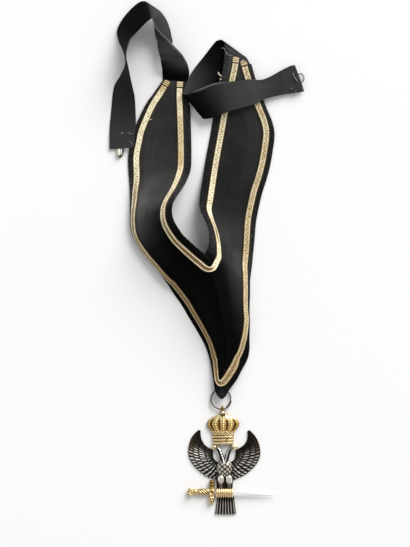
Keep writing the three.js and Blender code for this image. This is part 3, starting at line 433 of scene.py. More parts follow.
arms = {
    # the mitred seam, from the point up to the notch: plan x, y and height
    "seam": [(221.5, 398.6, 7), (224.3, 375, 7.8), (224.9, 350, 13), (222.8, 325, 22),
             (218, 298, 28.5), (211.5, 273, 30), (204.5, 254, 28)],
    # painted light and shade on each arm's cloth: places t, then values at the outer and at the
    # inner edge
    "leftRibbon": ([0, 3, 8, 13, 15, 17, 18.5, 21, 24, 27],
                   [0.1, 0.05, 0.02, 0.02, 0.2, 2.0, 3.6, 1.1, 0.75, 1.2],
                   [0.1, 0.05, 0.0, 0.0, 0.02, 0.4, 1.7, 0.75, 0.75, 1.2]),
    "rightRibbon": ([0, 3, 6, 8, 10, 12, 14, 17, 20, 24, 29],
                    [0.1, 0.03, 0.04, 0.3, 0.7, 1.2, 1.5, 0.9, 0.55, 0.7, 1.4],
                    [0.05, 0.02, 0.0, 0.0, 0.0, 0.1, 0.9, 0.7, 0.5, 0.7, 1.4]),
    "seamGap": 0.12,
    "thickness": 1.8,
    "blend": 7.0,
    # sections that start on the seam: way up the seam, outer end x, y, height, dip at the inner
    # and outer end, reach of each dip, and where the middles of the two braids run
    "leftPoint": [
        (0.9, 220.2, 398.5, 7, 0, 0, 0.3, 0.3, -50, 0.4),
        (6, 217, 395, 6.9, 0, 5, 1.5, 1.5, -50, 2),
        (13.5, 214.3, 389, 6.6, 5, 12, 3, 2.5, -50, 5),
        (24, 213, 380, 5.2, 8, 20, 4, 4, -50, 5),
        (37, 211.3, 369, 3.6, 11, 26, 7, 5, -50, 5.6),
        (50.7, 209, 357.5, 2.2, 14, 22, 10, 7, -40, 7),
        (66.2, 204.6, 345, 1.4, 18, 14, 13, 8.6, -30, 8),
        (83.5, 197.5, 332, 0.9, 19, 10, 16.5, 9.8, -26, 8.5),
        (102, 189.3, 318.5, 0.6, 17, 10, 19, 11, -20, 8.6),
        (120.3, 181.4, 305.2, 0.4, 12, 12, 21.5, 11.6, -8, 8.5),
        (136, 173.7, 294.3, 0.3, 8, 26, 23.5, 11.7, 3.5, 8.5),
        (147, 168.4, 286.2, 0.3, 6, 46, 25, 12, 9, 8.5)],
    "rightPoint": [
        (0.9, 222.8, 398.3, 7, 0, 0, 0.3, 0.3, -50, 0.4),
        (7, 226, 394.5, 6.9, 0, 5, 1.5, 1.5, -50, 3),
        (17, 231, 387.5, 6.4, 5, 8, 3, 3, -50, 9),
        (28, 236.7, 380, 5.2, 8, 12, 4, 4, -50, 11.5),
        (41.2, 242, 370, 3.6, 14, 14, 7, 6, -50, 11.5),
        (55.5, 247.7, 359, 2.4, 22, 8, 10, 9, -40, 11),
        (67.4, 249.8, 349, 2, 28, 22, 13, 8, -30, 10.2),
        (81.4, 249.8, 337, 1.3, 33, 70, 17, 6.5, -26, 9.3),
        (97.8, 250.1, 323, 0.8, 36, 80, 19, 8, -20, 8.8),
        (114.2, 249.9, 309, 0.6, 36, 66, 20, 11, -12, 9.6),
        (130.6, 250.4, 295, 0.8, 34, 56, 18.5, 14, 0.5, 9.4),
        (146.4, 250.5, 282, 1.1, 24, 44, 15.5, 20.5, 12, 9)],
    # sections from the notch to the end of the arm: inner end, outer end, then the same
    "leftArm": [
        (203.9, 253.9, 28, 166.6, 283.4, 0.3, 5, 64, 25, 12.5, 10.5, 8.5),
        (197, 248, 30, 160, 274.2, 0.3, 6, 82, 24, 12, 10.5, 8.5),
        (190, 242, 32, 153.2, 265.7, 0.3, 14, 94, 22, 10, 10.5, 8.5),
        (182, 234, 34.5, 144.3, 255.6, 0.3, 18, 98, 21, 8.5, 10.5, 8.5),
        (173.4, 220, 38.5, 133.8, 239.4, 0.3, 26, 102, 21, 7.5, 10.5, 8.5),
        (171.8, 208, 39.2, 130.4, 225, 0.3, 34, 106, 20, 7, 10.5, 8.5),
        (175, 198.5, 37, 129.8, 213, 0.5, 38, 98, 21, 7.5, 10.5, 8.5),
        (182, 188, 30, 129.5, 199, 0.7, 40, 76, 21, 9.5, 10.5, 8.6),
        (187.4, 178, 20, 129, 185.5, 1, 30, 38, 19, 18, 10.5, 8.9),
        (190.7, 168, 11, 128.3, 172.8, 1.6, 18, 16, 18, 18, 10.5, 8.8),
        (191.4, 155, 5.5, 128, 157, 1.8, 6, 7, 18, 18, 10.5, 8.5),
        (191.3, 141, 3.6, 131, 141, 1.8, 2, 2, 18, 18, 10.5, 8.2),
        (191, 130, 3.2, 134.4, 128.6, 2, 1, 1, 18, 18, 10.5, 7.8),
        (190, 108, 3.1, 145.5, 105, 2.6, 0, 0, 14, 14, 10.2, 7),
        (187, 95, 3.1, 154, 93, 3.1, 0, 0, 10, 10, 7.6, 6.2),
        (185, 82, 3.1, 163, 80, 3.1, 0, 0, 6, 6, 5, 5)],
    "rightArm": [
        (205.1, 253.6, 28, 250.7, 279, 1.2, 14, 36, 15, 24, 14.5, 8.5),
        (207, 250, 28.8, 251.8, 269, 1.5, 4, 14, 13, 30, 14, 8.5),
        (209.4, 240, 29, 252.4, 263, 1.8, 14, 5, 13, 33, 11.4, 8.5),
        (209.6, 230, 27.5, 253.1, 255, 1.8, 42, 3, 14, 33, 10, 8.5),
        (207.4, 222, 24.5, 254.1, 245, 1.8, 56, 1, 16, 33, 9.8, 8.5),
        (204, 215.5, 20, 255, 234, 1.8, 52, 0, 18, 32, 10, 8.5),
        (200.4, 207, 15, 256, 223, 1.8, 38, 0, 18, 29, 10, 8.5),
        (200.2, 197, 10, 258, 211.5, 1.8, 18, 0, 17, 26, 10.5, 8.5),
        (202.5, 180, 5, 262, 194, 1.8, 4, 0, 18, 22, 10.5, 8.5),
        (204.5, 167, 3, 266.3, 180.5, 1.8, 2, 0, 18, 20, 10.5, 8.5),
        (206.5, 155, 2.4, 269.8, 167.5, 1.8, 0, 0, 18, 18, 10.5, 8.5),
        (209.3, 140, 1.9, 272.8, 151, 1.8, 0, 0, 18, 18, 10.5, 8.5),
        (212, 125, 1.9, 274.6, 135, 1.8, 0, 0, 18, 18, 10.5, 8.5),
        (214, 113, 2.6, 272.5, 122.5, 1.9, 0, 0, 18, 18, 10.6, 8.5),
        (217, 100, 3.6, 267.3, 110, 2.8, 0, 0, 16, 16, 10.8, 8.4),
        (220, 84, 4.5, 259.5, 90, 4, 0, 0, 12, 12, 11, 8.2),
        (222.5, 70, 4.7, 255, 77, 4.7, 0, 0, 9, 9, 11.6, 8.2),
        (225, 51, 4.8, 251.5, 64.5, 4.8, 0, 0, 8, 8, 12.6, 9.4)],
    # cells along, across and round each edge of the ribbon
    "cells": (520, 46, 6),
    # grid rows for each section, cells across it, cells of the curve it is read from, and
    # cells of the seam
    "fine": (40, 160, 400, 4000),
    "inside": 110,  # the fine grid's line that, with its outer edge, spaces the ribbon's rows
}


class Arm:
    # each section is a cubic curve from the outer to the inner end, leaving them at the two dips;
    # its points lie at even shares of its length, on a fine grid of places t
    def __init__(self, name, side):
        gridRows, gridCells, self.curveCells, seamCells = arms["fine"]
        self.seamLine = through(arms["seam"], seamCells + 1)
        self.seamWay = walked(self.seamLine)
        pointRows, armRows = (np.array(arms[name + end], float) for end in ("Point", "Arm"))
        place, heading = self.seamAt(pointRows[:, 0])
        place = place - side * arms["seamGap"] / 2 * stacked(heading[:, 1], -heading[:, 0], 0)
        start = place * (1, -1, 1) + (*planMiddle, 0)
        table = np.concatenate([np.concatenate([start, pointRows[:, 1:]], 1), armRows])
        self.seamRows, self.last = len(pointRows), len(table) - 1
        self.t = np.linspace(0, self.last, self.last * gridRows + 1)
        self.rows = alongRows(table, self.t)
        self.share = np.linspace(0, 1, gridCells + 1)
        self.grid, self.width = self.sections()
        self.downT = np.gradient(self.grid, self.t, axis=0)
        self.over = np.gradient(self.grid, self.share, axis=1)
        self.normal = unit(np.cross(self.over, self.downT)) * side

    def seamAt(self, way):  # the place that far up the seam, and the level direction there
        place, ahead = (stacked(*(np.interp(w, self.seamWay, part) for part in self.seamLine.T))
                        for w in (way, way + 0.5))
        return place, unit((ahead - place) * (1, 1, 0))

    def sections(self):
        inner, outer = plan(self.rows[:, 0:3]), plan(self.rows[:, 3:6])
        level = unit((outer - inner) * (1, 1, 0))
        leave, arrive = (level * np.cos(dip) - upward * np.sin(dip)
                         for dip in np.radians(self.rows[:, 6:8, None].swapaxes(0, 1)))
        b, c = outer - arrive * self.rows[:, 9:10], inner + leave * self.rows[:, 8:9]
        w = column(0, 1, self.curveCells + 1)
        line = (outer[:, None] * (1 - w) ** 3 + b[:, None] * 3 * w * (1 - w) ** 2
                + c[:, None] * 3 * w ** 2 * (1 - w) + inner[:, None] * w ** 3)
        steps = np.linalg.norm(np.diff(line, axis=1), axis=-1)
        way = np.pad(np.cumsum(steps, 1), ((0, 0), (1, 0)))
        wanted = self.share * way[:, -1:]
        k = (way[:, None, :] < wanted[..., None]).sum(-1) - 1
        k = np.clip(k, 0, self.curveCells - 1)
        low, high = (np.take_along_axis(way, i, 1) for i in (k, k + 1))
        part = ((wanted - low) / np.maximum(high - low, 1e-9))[..., None]
        first, second = (np.take_along_axis(line, i[..., None], 1) for i in (k, k + 1))
        return first + (second - first) * part, way[:, -1]

    def read(self, grid, t, share):  # a value of the fine grid between its points
        i = np.clip(t / self.t[1], 0, len(self.t) - 1.001)
        j = np.clip(share, 0, 1) * (len(self.share) - 1.001)
        a, b = i.astype(int), j.astype(int)
        u, v = (i - a)[..., None], (j - b)[..., None]
        return (grid[a, b] * (1 - u) * (1 - v) + grid[a + 1, b] * u * (1 - v)
                + grid[a, b + 1] * (1 - u) * v + grid[a + 1, b + 1] * u * v)

    def at(self, t, share):
        return self.read(self.grid, t, share), unit(self.read(self.normal, t, share))

    def widthAt(self, t):
        return np.interp(t, self.t, self.width)


leftArm, rightArm = Arm("left", 1), Arm("right", -1)
print("stage: arm surfaces")


def roundedEdge(widths, thickness, flatCells, edgeCells):
    # once round a flat tube: how far across each point lies, and how far under the top surface
    radius = thickness / 2
    turn = np.linspace(0, np.pi, edgeCells + 1)[1:-1]
    share = np.linspace(0, 1, flatCells + 1)
    rim = np.minimum(radius, widths * 0.4)
    flat = rim + (widths - 2 * rim) * share
    across = np.concatenate([flat, widths - rim + rim * np.sin(turn), flat[:, ::-1],
                             rim - rim * np.sin(turn)], 1)
    under = np.concatenate([share * 0, radius - radius * np.cos(turn), share * 0 + thickness,
                            radius + radius * np.cos(turn)])
    return across, under


def lit(table, t, share):  # the painted light and shade at the places t, from one edge to the other
    places, near, far = table
    return np.interp(t, places, near) * (1 - share) + np.interp(t, places, far) * share


tab = {
    "thickness": 1.0, "z": 8.0, "stitched": (222.2, 393.8),
    "cells": (60, 30, 4),  # along, across and round each edge
    # plan y, plan x of the middle, half width
    "outline": [(385.5, 221.6, 5.4), (387.2, 221.7, 6.7), (389.0, 221.7, 7.0), (391.0, 221.7, 6.6),
                (394.0, 221.8, 4.9), (396.4, 221.8, 3.4), (398.0, 221.8, 2.0), (398.9, 221.8, 0.6)],
}


def tabSurface(shape):
    # a rounded cloth tab over the two ends of the arms: half width at each plan y, a stitched ring
    # pressed into it, and painted highlights on that ring and at its middle
    cellsAlong, cellsAcross, edgeCells = tab["cells"]
    y, middle, half = profile(tab["outline"], cellsAlong)
    across, under = roundedEdge(2 * half, tab["thickness"], cellsAcross, edgeCells)
    x = middle - half + across
    away = np.hypot(x - tab["stitched"][0], y - tab["stitched"][1])
    ring = hump(away, 1.6, 0.35) * 0.22 + hump(away, 3.2, 0.4) * 0.12
    z = tab["z"] + 0.7 * (1 - (across / half - 1) ** 2) - under - ring * (under < 0.05)
    # painted light: dark cloth, with painted highlights on the stitched ring and a bright spot at
    # its middle
    nap = (0.14 + 0.5 * hump(away, 1.9, 0.4) + 0.4 * hump(away, 3.8, 0.45)
           + 1.6 * hump(away, 0, 0.6))
    shape.put(plan(x, y, z), flatFaces(*x.shape, edgeCells), along=y - y[0],
              across=x - 210, margin=0.15, nap=nap)


def ribbonArm(name, arm, seed):
    # the arm's surface carried round a flat tube, with slow ripples along the cloth; its rows
    # are evenly spaced by the outer edge and a line further in
    cellsAlong, cellsAcross, edgeCells = arms["cells"]
    way = walked(arm.grid[:, 0]) + walked(arm.grid[:, arms["inside"]])
    t = np.interp(column(0, way[-1], cellsAlong + 1), way, arm.t)
    width = arm.widthAt(t)
    across, under = roundedEdge(width, arms["thickness"], cellsAcross, edgeCells)
    share = across / width
    place, normal = arm.at(t, share)
    reach = np.clip((width - across) / arms["blend"], 0, 1)
    past = np.clip((t - arm.seamRows) / 2, 0, 1)
    upright = ((1 - reach) * (1 - past))[..., None]
    down = unit(normal * (1 - upright) + upward * upright)
    along = walked(arm.at(t[:, 0], np.full(len(t), 0.3))[0])[:, None]
    ripple = (0.2 * np.sin(along / 9.5 + seed) * np.sin(across / 17 + seed)
              + 0.07 * np.sin(along / 4.1 + across / 9 + seed))
    calm = smooth(0, 12, np.minimum(across, width - across)) * smooth(0, 30, along)
    points = place - down * under[..., None] + normal * (ripple * calm)[..., None]
    points[..., 2] = np.maximum(points[..., 2], lowest)
    fromEdge = np.minimum(across, np.where(t < arm.seamRows - 1, 99, width - across))
    # nap: the painted light and shade from the arm's table
    shape = Shape(name).put(points, flatFaces(*across.shape, edgeCells), along=along,
                            across=across, margin=1 - smooth(4.2, 6.2, fromEdge),
                            nap=lit(arms[name], t, smooth(0.2, 0.75, share)))
    if arm is leftArm:
        tabSurface(shape)
    return shape


leftBand = dress(ribbonArm("leftRibbon", leftArm, 0.4), ribbonCloth, "left_band")
rightBand = dress(ribbonArm("rightRibbon", rightArm, 2.1), ribbonCloth, "right_band")
print("stage: ribbon arms")


# the lace: two raised ridges near the edges and a pebbled chain between them

lace = {
    "width": 7.0, "gap": 0.5, "base": 0.4, "high": 0.8, "step": 0.4, "cells": 19,
    "samples": 3000,  # places along an arm from which the lace's own steps are read
    # where each lace starts on each arm and on the seam, how wide its turn is rounded, and how
    # brown it is from wear and from painted shade, at distances from the turn, along the left arm
    # and along the right arm
    "inner": {"left": 9.9, "right": 10.3, "up": 133, "turn": (-3.8, 4), "column": 10, "round": 8.0,
              "leftWorn": ([0, 20, 40, 120, 140, 175, 190], [0.25, 0.3, 0.1, 0.1, 0.6, 0.6, 0.15]),
              "rightWorn": ([0, 12, 40, 150, 200], [0.1, 0.0, 0.1, 0.15, 0.2]),
              # and how far the groove between its ridges is filled
              "leftFilled": ([0, 20, 60, 90, 170], [0.1, 0.1, 0.35, 0.8, 0.9]),
              "rightFilled": ([0, 6, 14, 30, 40, 60, 200], [0.1, 0.7, 1.0, 0.8, 0.3, 0.8, 0.6])},
    "outer": {"left": 2.2, "right": 2.2, "up": 14.5, "turn": (-3.8, 4), "column": 11, "round": 2.4,
              # round the tip it lies across both arms: plan and height of its outer and inner edge
              "tip": [(213.1, 367.5, 4.6, 218, 367, 6.9), (213.8, 375, 5.7, 218.6, 374, 7.3),
                      (214.7, 381, 6.4, 218.9, 377.4, 7.6), (217, 385.3, 6.9, 219.2, 378.9, 7.7),
                      (220.8, 387.5, 7.1, 219.9, 379.4, 7.8), (225.3, 385.6, 7, 221, 378.4, 7.8),
                      (229.6, 380.8, 6.7, 223.2, 375.4, 7.8),
                      (233.9, 374.6, 6.2, 226.4, 370.4, 7.9), (238.2, 367, 5.4, 230.6, 363.3, 8)],
              "clear": 9.0,
              "leftWorn": ([0, 12, 30, 110, 150, 200, 322, 330],
                           [0.3, 0.35, 0.9, 0.8, 0.2, 0.0, 0.0, 1.0]),
              "rightWorn": ([0, 20, 50, 110, 220, 330], [0.5, 0.6, 0.6, 0.5, 0.4, 0.25]),
              "leftFilled": ([0, 110, 150, 215, 245, 300], [0.1, 0.15, 0.35, 0.5, 0.9, 0.9]),
              "rightFilled": ([0, 30, 70, 330], [0.4, 0.4, 0.65, 0.6])},
}


def laceSide(arm, kind, start, corner):
    # the lace's middle keeps its distance from the edge of the cloth; a step of w mm to its side
    # is turned into steps of t and share by the cloth's two slopes there
    t = np.linspace(start, arm.last, lace["samples"])
    off = np.interp(t, arm.t, arm.rows[:, lace[kind]["column"]]) / arm.widthAt(t)
    share = off if kind == "outer" else 1 - off
    line = arm.at(t, share)[0]
    way = walked(line) + np.linalg.norm(line[0] - corner)
    spots = np.arange(way[0] + 1.2, way[-1], lace["step"])
    t, share = np.interp(spots, way, t), np.interp(spots, way, share)
    middle, normal = arm.at(t, share)
    a, b = arm.read(arm.downT, t, share), arm.read(arm.over, t, share)
    s = unit(np.cross(unit(np.gradient(middle, axis=0)), normal))
    aa, ab, bb, sa, sb = ((p * q).sum(-1, keepdims=True)
                          for p, q in ((a, a), (a, b), (b, b), (s, a), (s, b)))
    w = np.linspace(-0.5, 0.5, lace["cells"]) * lace["width"] / (aa * bb - ab * ab)
    return arm.at(np.clip(t[:, None] + (sa * bb - sb * ab) * w, 0, arm.last),
                  share[:, None] + (sb * aa - sa * ab) * w)


def evenly(points, way, places):  # rows of points read at even steps along the way
    k = np.clip(np.searchsorted(way, places) - 1, 0, len(way) - 2)
    part = ((places - way[k]) / (way[k + 1] - way[k]))[:, None, None]
    return points[k] * (1 - part) + points[k + 1] * part


def rounded(points, reach):  # each row becomes a weighted middle of its neighbours
    weights = np.hanning(2 * reach + 3)[1:-1]
    padded = np.pad(points, ((reach, reach), (0, 0), (0, 0)), mode="edge")
    total = sum(weight * padded[k:k + len(points)] for k, weight in enumerate(weights))
    return total / weights.sum()


def lacePath(kind):
    # the lace along the left arm, round its turn and along the right arm: the points across it,
    # their normals, and the distance from the turn
    spec, cells = lace[kind], lace["cells"]
    corner, *sides = leftArm.seamAt(spec["up"] + np.array([0, *spec["turn"]]))[0]
    halves = []
    for arm, start in ((leftArm, spec["left"]), (rightArm, spec["right"])):
        place, normal = laceSide(arm, kind, start, corner)
        straight, crossed = (np.linalg.norm(place[0, ends] - np.array(sides), axis=-1).sum()
                             for ends in ([0, -1], [-1, 0]))
        way = -1 if crossed < straight else 1
        halves.append((place[:, ::way], normal[:, ::way]))
    turn = leftArm.seamAt(spec["up"] + np.linspace(*spec["turn"], cells))[0][None]
    if "tip" in spec:
        edges, share = np.array(spec["tip"]), column(0, 1, cells)
        turn = plan(edges[:, None, :3]) * (1 - share) + plan(edges[:, None, 3:]) * share
        halves = [[grid[half[0][:, cells // 2, 1] > end + spec["clear"]] for grid in half]
                  for half, end in zip(halves, turn[[0, -1], cells // 2, 1])]
        turn = np.concatenate([halves[0][0][:1], turn, halves[1][0][:1]])
        turn = alongRows(turn.reshape(len(turn), -1), np.linspace(0, len(turn) - 1, 101)[1:-1])
        turn = turn.reshape(-1, cells, 3)
    place = np.concatenate([halves[0][0][::-1], turn, halves[1][0]])
    normal = np.concatenate([halves[0][1][::-1], turn * 0 + upward, halves[1][1]])
    way = walked(place[:, cells // 2])
    way = way - way[len(halves[0][0]) + len(turn) // 2]
    even = np.arange(way[0], way[-1], lace["step"])
    place, normal = evenly(place, way, even), unit(evenly(normal, way, even))
    soft = rounded(place, int(spec["round"] / lace["step"]))
    turning = smooth(2.2 * spec["round"], 0.8 * spec["round"], np.abs(even))[:, None, None]
    return place * (1 - turning) + soft * turning, normal, even[:, None]


def lacePiece(name, kind):
    # the worked pattern: w runs from -1 to 1 across the lace, way in mm along it
    place, normal, way = lacePath(kind)
    w = np.linspace(-1, 1, lace["cells"])
    # worn: real wear, and painted shade on the steep lower left of the outer lace
    worn, filled = (np.where(way < 0, np.interp(-way, *lace[kind]["left" + key]),
                             np.interp(way, *lace[kind]["right" + key]))
                    for key in ("Worn", "Filled"))
    toEnd = np.minimum(way[-1] - way, way - way[0])
    cap = smooth(6.4, 5.4, toEnd)
    ridges = hump(np.abs(w), 0.63, 0.22) * (0.9 + 0.1 * np.cos(way * fullTurn / 1.3 + w * 4))
    # flecks: small brown pits that step from side to side along the middle
    flecks = hump(w, 0.2 * np.cos(way * fullTurn / 5.2), 0.26)
    flecks = flecks * (0.5 + 0.5 * np.cos(way * fullTurn / 2.6 + np.sin(way / 5)))
    chain = hump(w, 0, 0.3) * 0.3 * (1 - flecks)
    flecks = flecks * (0.62 + 0.38 * np.sin(way * 0.41) * np.sin(way * 1.13))
    chain = chain + (filled * (0.8 - 0.56 * flecks) * smooth(0.85, 0.45, np.abs(w))
                     * (1 - ridges))
    worked = (ridges + chain) * smooth(1.0, 0.74, np.abs(w)) * (1 - cap)
    worked = worked + cap * (0.62 + 0.38 * np.cos(way * 3.4)) * smooth(1.02, 0.78, np.abs(w))
    relief = np.clip(worked - hump(toEnd, 6.2, 0.45), 0, 1)
    top = lace["gap"] + lace["base"] + lace["high"] * relief + cap * 0.25
    top = np.where(np.abs(w) > 0.99, lace["gap"] + 0.3, top)
    under = place + normal * (lace["gap"] - 0.25)
    grid = np.concatenate([place + normal * top[..., None], under[:, ::-1]], 1)
    relief = np.concatenate([relief, relief * 0 + 0.15], 1)
    return Shape(name).put(grid, flatFaces(*grid.shape[:2]), relief=relief, worn=worn)


innerLace = dress(lacePiece("innerLace", "inner"), laceGold, "inner_braid")
outerLace = dress(lacePiece("outerLace", "outer"), laceGold, "outer_braid")
print("stage: lace")


# the straps: straight lines across the ribbon between its two edges

straps = {
    # painted light and shade on each strap: places t, then values at the first and at the second
    # edge
    "leftStrap": ([0, 1.9, 2.5, 3.3, 3.8, 4.3, 5, 7, 9, 11.5, 12.3, 12.8, 14, 16, 18, 21, 24, 26],
                  [0.02, 0.02, 0.02, 0.02, 0.2, 0.7, 0.85, 1.1, 1.2, 1.1, 0.8, 0.1, 0.05, 0.08, 0.2,
                   0.35, 0.5, 0.8],
                  [0.04, 0.04, 0.5, 1.3, 1.2, 0.9, 0.85, 0.85, 0.85, 0.8, 0.5, 0.05, 0.04, 0.04,
                   0.2, 0.35, 0.5, 0.8]),
    "rightStrap": ([0, 3.2, 3.7, 6, 7, 8, 9, 10, 11.5, 12, 12.4, 14, 15, 16, 17, 19, 22, 24],
                   [1.3, 1.3, 0.0, 0.0, 0.1, 0.6, 0.8, 1.0, 1.2, 0.4, 0.02, 0.02, 0.1, 0.5, 0.9,
                    1.15, 0.75, 0.8],
                   [1.3, 1.3, 0.0, 0.0, 0.0, 0.02, 0.1, 0.3, 0.5, 0.1, 0.0, 0.0, 0.05, 0.3, 0.8,
                    1.1, 0.75, 0.8]),
    # the painted highlight along the selvage: how strong it is at places t, and at which edge it
    # shows
    "leftStrapSelvage": ([3.4, 4.2, 11.6, 12.4, 16.2, 16.8, 20, 20.6],
                         [0, 0.9, 0.9, 0, 0, 0.45, 0.45, 0], 1),
    "rightStrapSelvage": ([12.6, 14, 15, 16.2, 17.5], [0, 0.2, 0.8, 0.8, 0], 0),
    "thickness": 0.9, "perRow": 16, "cellsAcross": 26, "edgeCells": 4, "hem": 17.0,
    "reach": (0.04, 0.02),  # steps along and across that give the slopes of the cloth
    # lines across the ribbon: plan x, y and height of both edges, and a curl's push at the middle
    "left": [
        (165.5, 95, 0.5, 184.5, 97, 0.5), (163, 81, 0.5, 187.5, 81.5, 0.5),
        (162.4, 74, 3.2, 189.3, 74.5, 3), (161.9, 67.5, 9, 188.4, 67.3, 8.6),
        (160.8, 61, 12, 185.6, 60.5, 12, -0.6, 0, 0.6),
        (161, 55.5, 10.5, 181.4, 54, 15, -8, 0, 0.6),
        (167.5, 50, 8.5, 175.5, 48, 15.5, -12.6, 0, 0),
        (172.6, 43.3, 7, 168.6, 40.8, 16.5, -12.6, 0, 0),
        (171.6, 36.5, 6, 162, 35, 19, -10.5, 0, 0), (170, 29, 5, 156.8, 29, 22.5, -7, 0, 0),
        (166.8, 20.8, 5.5, 153.8, 23.6, 25.5, -3.6, 0, 0),
        (160.8, 12.4, 7.5, 152.8, 21, 27, -0.6, 0, 0.5),
        (152.5, 6.5, 9.5, 151.9, 20.2, 27.3, 0, 0, 1), (145, 2.2, 12.3, 150.4, 21, 27),
        (138.5, 3.6, 10.8, 146.5, 24.2, 26), (129.4, 11.4, 7.8, 140.4, 30.3, 25),
        (121.4, 21.4, 4.6, 135.6, 35.3, 24.6), (117.2, 31, 1.6, 131, 41, 24.6),
        (118.9, 41, 0.8, 128.2, 48.5, 25.2), (122.7, 49.5, 0.6, 126.6, 55, 25.4),
        (125, 57.5, 0.6, 126.9, 61, 25), (124.9, 66, 0.6, 128.6, 69, 24),
        (120, 76.6, 0.6, 130.6, 78, 21.6), (114.4, 86, 0.6, 132.7, 87.5, 18),
        (112.3, 98, 0.6, 135, 98, 13.4), (111, 113, 0.6, 135.8, 112, 9),
        (109.8, 126, 0.8, 136, 124, 7), (109.6, 138, 1.3, 134.8, 136, 6.2),
        (109.6, 149.4, 1.5, 133.6, 147.6, 5.9)],
    "right": [
        (224.5, 67, 2.15, 244.5, 77.5, 2.15), (226, 60, 2.15, 246.5, 71.5, 2.15),
        (226.6, 52.5, 2.15, 249, 65.5, 2.15), (224.8, 46, 2.6, 248.8, 61.6, 2.5),
        (222, 40.6, 2.2, 245.3, 57.4, 2), (218.4, 40.2, 1, 240.4, 58.4, 0.9),
        (214.2, 43.2, 0.55, 235, 62.6, 0.55), (203.6, 56.8, 0.55, 225, 73, 0.55),
        (195.2, 67.4, 0.9, 218.5, 83, 0.55), (189.4, 76.6, 2.6, 213.5, 93.5, 0.9),
        (185.4, 84.9, 4.9, 209, 104, 2), (183.6, 91.2, 6.1, 205.4, 112.6, 4),
        (182.8, 94, 8.2, 203.2, 117.6, 6), (185.6, 94.8, 9.6, 204, 119.3, 8.2),
        (191.6, 92.6, 9.6, 208.2, 119, 9), (199.5, 89.6, 9.2, 214.5, 117.6, 9.2),
        (213, 84.2, 9.2, 222.5, 114.2, 9.2), (224.5, 82.4, 9.6, 232, 111, 9.4),
        (237, 81.6, 9.6, 245.5, 107.4, 9), (249, 79.8, 9, 256, 104, 8.2),
        (261, 80, 7, 264.2, 99.4, 6.4), (270.3, 76.6, 5.4, 272.8, 97, 5),
        (281.8, 70.2, 4.6, 285.4, 94.4, 4.2), (290.6, 66, 4.6, 296.8, 93.2, 4.2),
        (294.9, 65.5, 4.8, 304.3, 91.4, 4.4)],
}


def strapLine(rows, t, share):  # straight across between both edges, and pushed out where it curls
    line = alongRows(rows, t)
    a, b, s = plan(line[..., :3]), plan(line[..., 3:6]), share[..., None]
    return a + (b - a) * s + line[..., 6:9] * (1, -1, 1) * 4 * s * (1 - s)


def strapPiece(name, rows, seed):
    # the strap's surface carried round a flat tube, with ripples and a rough hem at its end
    rows = np.array([row + (0,) * (9 - len(row)) for row in rows], float)
    last = len(rows) - 1
    t = column(0, last, last * straps["perRow"] + 1)
    line = strapLine(rows, t, np.linspace(0, 1, 41))
    width = np.linalg.norm(np.diff(line, axis=1), axis=-1).sum(1)[:, None]
    across, under = roundedEdge(width, straps["thickness"], straps["cellsAcross"],
                                straps["edgeCells"])
    share, (forth, over) = across / width, straps["reach"]
    ahead = (strapLine(rows, np.minimum(t + forth, last), share)
             - strapLine(rows, np.maximum(t - forth, 0), share))
    aside = (strapLine(rows, t, np.minimum(share + over, 1))
             - strapLine(rows, t, np.maximum(share - over, 0)))
    along = walked(strapLine(rows, t[:, 0], np.full(len(t), 0.5)))[:, None]
    ripple = (0.12 * np.sin(along / 7 + seed + share * 3)
              * smooth(0, 0.2, np.minimum(share, 1 - share)))
    hem = smooth(straps["hem"] + 0.6, straps["hem"] - 0.6, along[-1] - along)
    rough = hem * (0.16 * np.sin(along * 2.1 + share * 4) * np.sin(share * 17 + seed) + 0.25)
    lift = straps["thickness"] / 2 - under + ripple + rough
    points = strapLine(rows, t, share) + unit(np.cross(ahead, aside)) * lift[..., None]
    points[..., 2] = np.maximum(points[..., 2], lowest)
    print("  ", name, "is", round(float(along[-1, 0]), 1), "mm long")
    # pale: the strength of the painted selvage highlight; nap: the painted light and shade from the
    # strap's table
    places, pale, edge = straps[name + "Selvage"]
    return Shape(name).put(points, flatFaces(*across.shape, straps["edgeCells"]), along=along,
                           across=across, hem=hem, nap=lit(straps[name], t, share),
                           selvage=np.interp(t, places, pale) * hump(share, edge, 0.035))


leftStrap = dress(strapPiece("leftStrap", straps["left"], 0.0), strapCloth,
                  "left_strap")
rightStrap = dress(strapPiece("rightStrap", straps["right"], 1.3), strapCloth,
                   "right_strap")
print("stage: straps")


# hook, eye, ring and the hidden cloth loop

wires = {
    # hook and eye: the wire's path and its sewing loops, on two axes from a middle
    "hook": {"z": 0.8, "wire": 0.75, "middle": (0, 0), "axes": ((1, 0), (0, 1)),
             "path": [(118.2, 140), (118.2, 147), (117.9, 151.5), (118.7, 155.2), (120.6, 156.9),
                      (122.2, 155.2), (123, 151.5), (123, 147), (122.6, 140)],
             "loops": [(115.9, 139.4), (125.1, 139.4)], "loop": 1.65, "tarnish": 0.7,
             # flattened forms over the hook, and how much wider than the wire each becomes
             "bent": [([(120.6, 156.4, 0.9), (120.0, 157.1, 2.1), (119.0, 155.4, 3.1),
                        (118.6, 152.6, 3.3), (119, 149.2, 2.9)], 2.0),
                      ([(120.8, 156.0, 0.9), (121.0, 156.6, 2.0), (121.2, 154.6, 2.8),
                        (121.2, 152, 3), (121.7, 148.2, 2.7)], 1.15)]},
    "eye": {"z": 2.7, "wire": 0.6, "middle": (298.9, 78.6), "axes": ((0.93, -0.36), (0.36, 0.93)),
            "path": [(-9, -4.4), (-4, -4.3), (0.5, -4.2), (3.6, -3.4), (5, 0), (3.6, 3.4),
                     (0.5, 4.2), (-4, 4.3), (-9, 4.4)],
            "loops": [(-9, -6.1), (-9, 6.1)], "loop": 1.7, "tarnish": 0.55, "bent": []},
    "ring": {"middle": (220.9, 399.1, 2.6), "outside": 21.3, "wire": 1.45, "tilt": 0.06,
             "join": -0.56, "overlap": 0.42, "apart": 0.45},
    "loop": {"width": 6.0, "thickness": 0.8, "reach": 8.0, "cells": 96, "corner": 0.45},
}


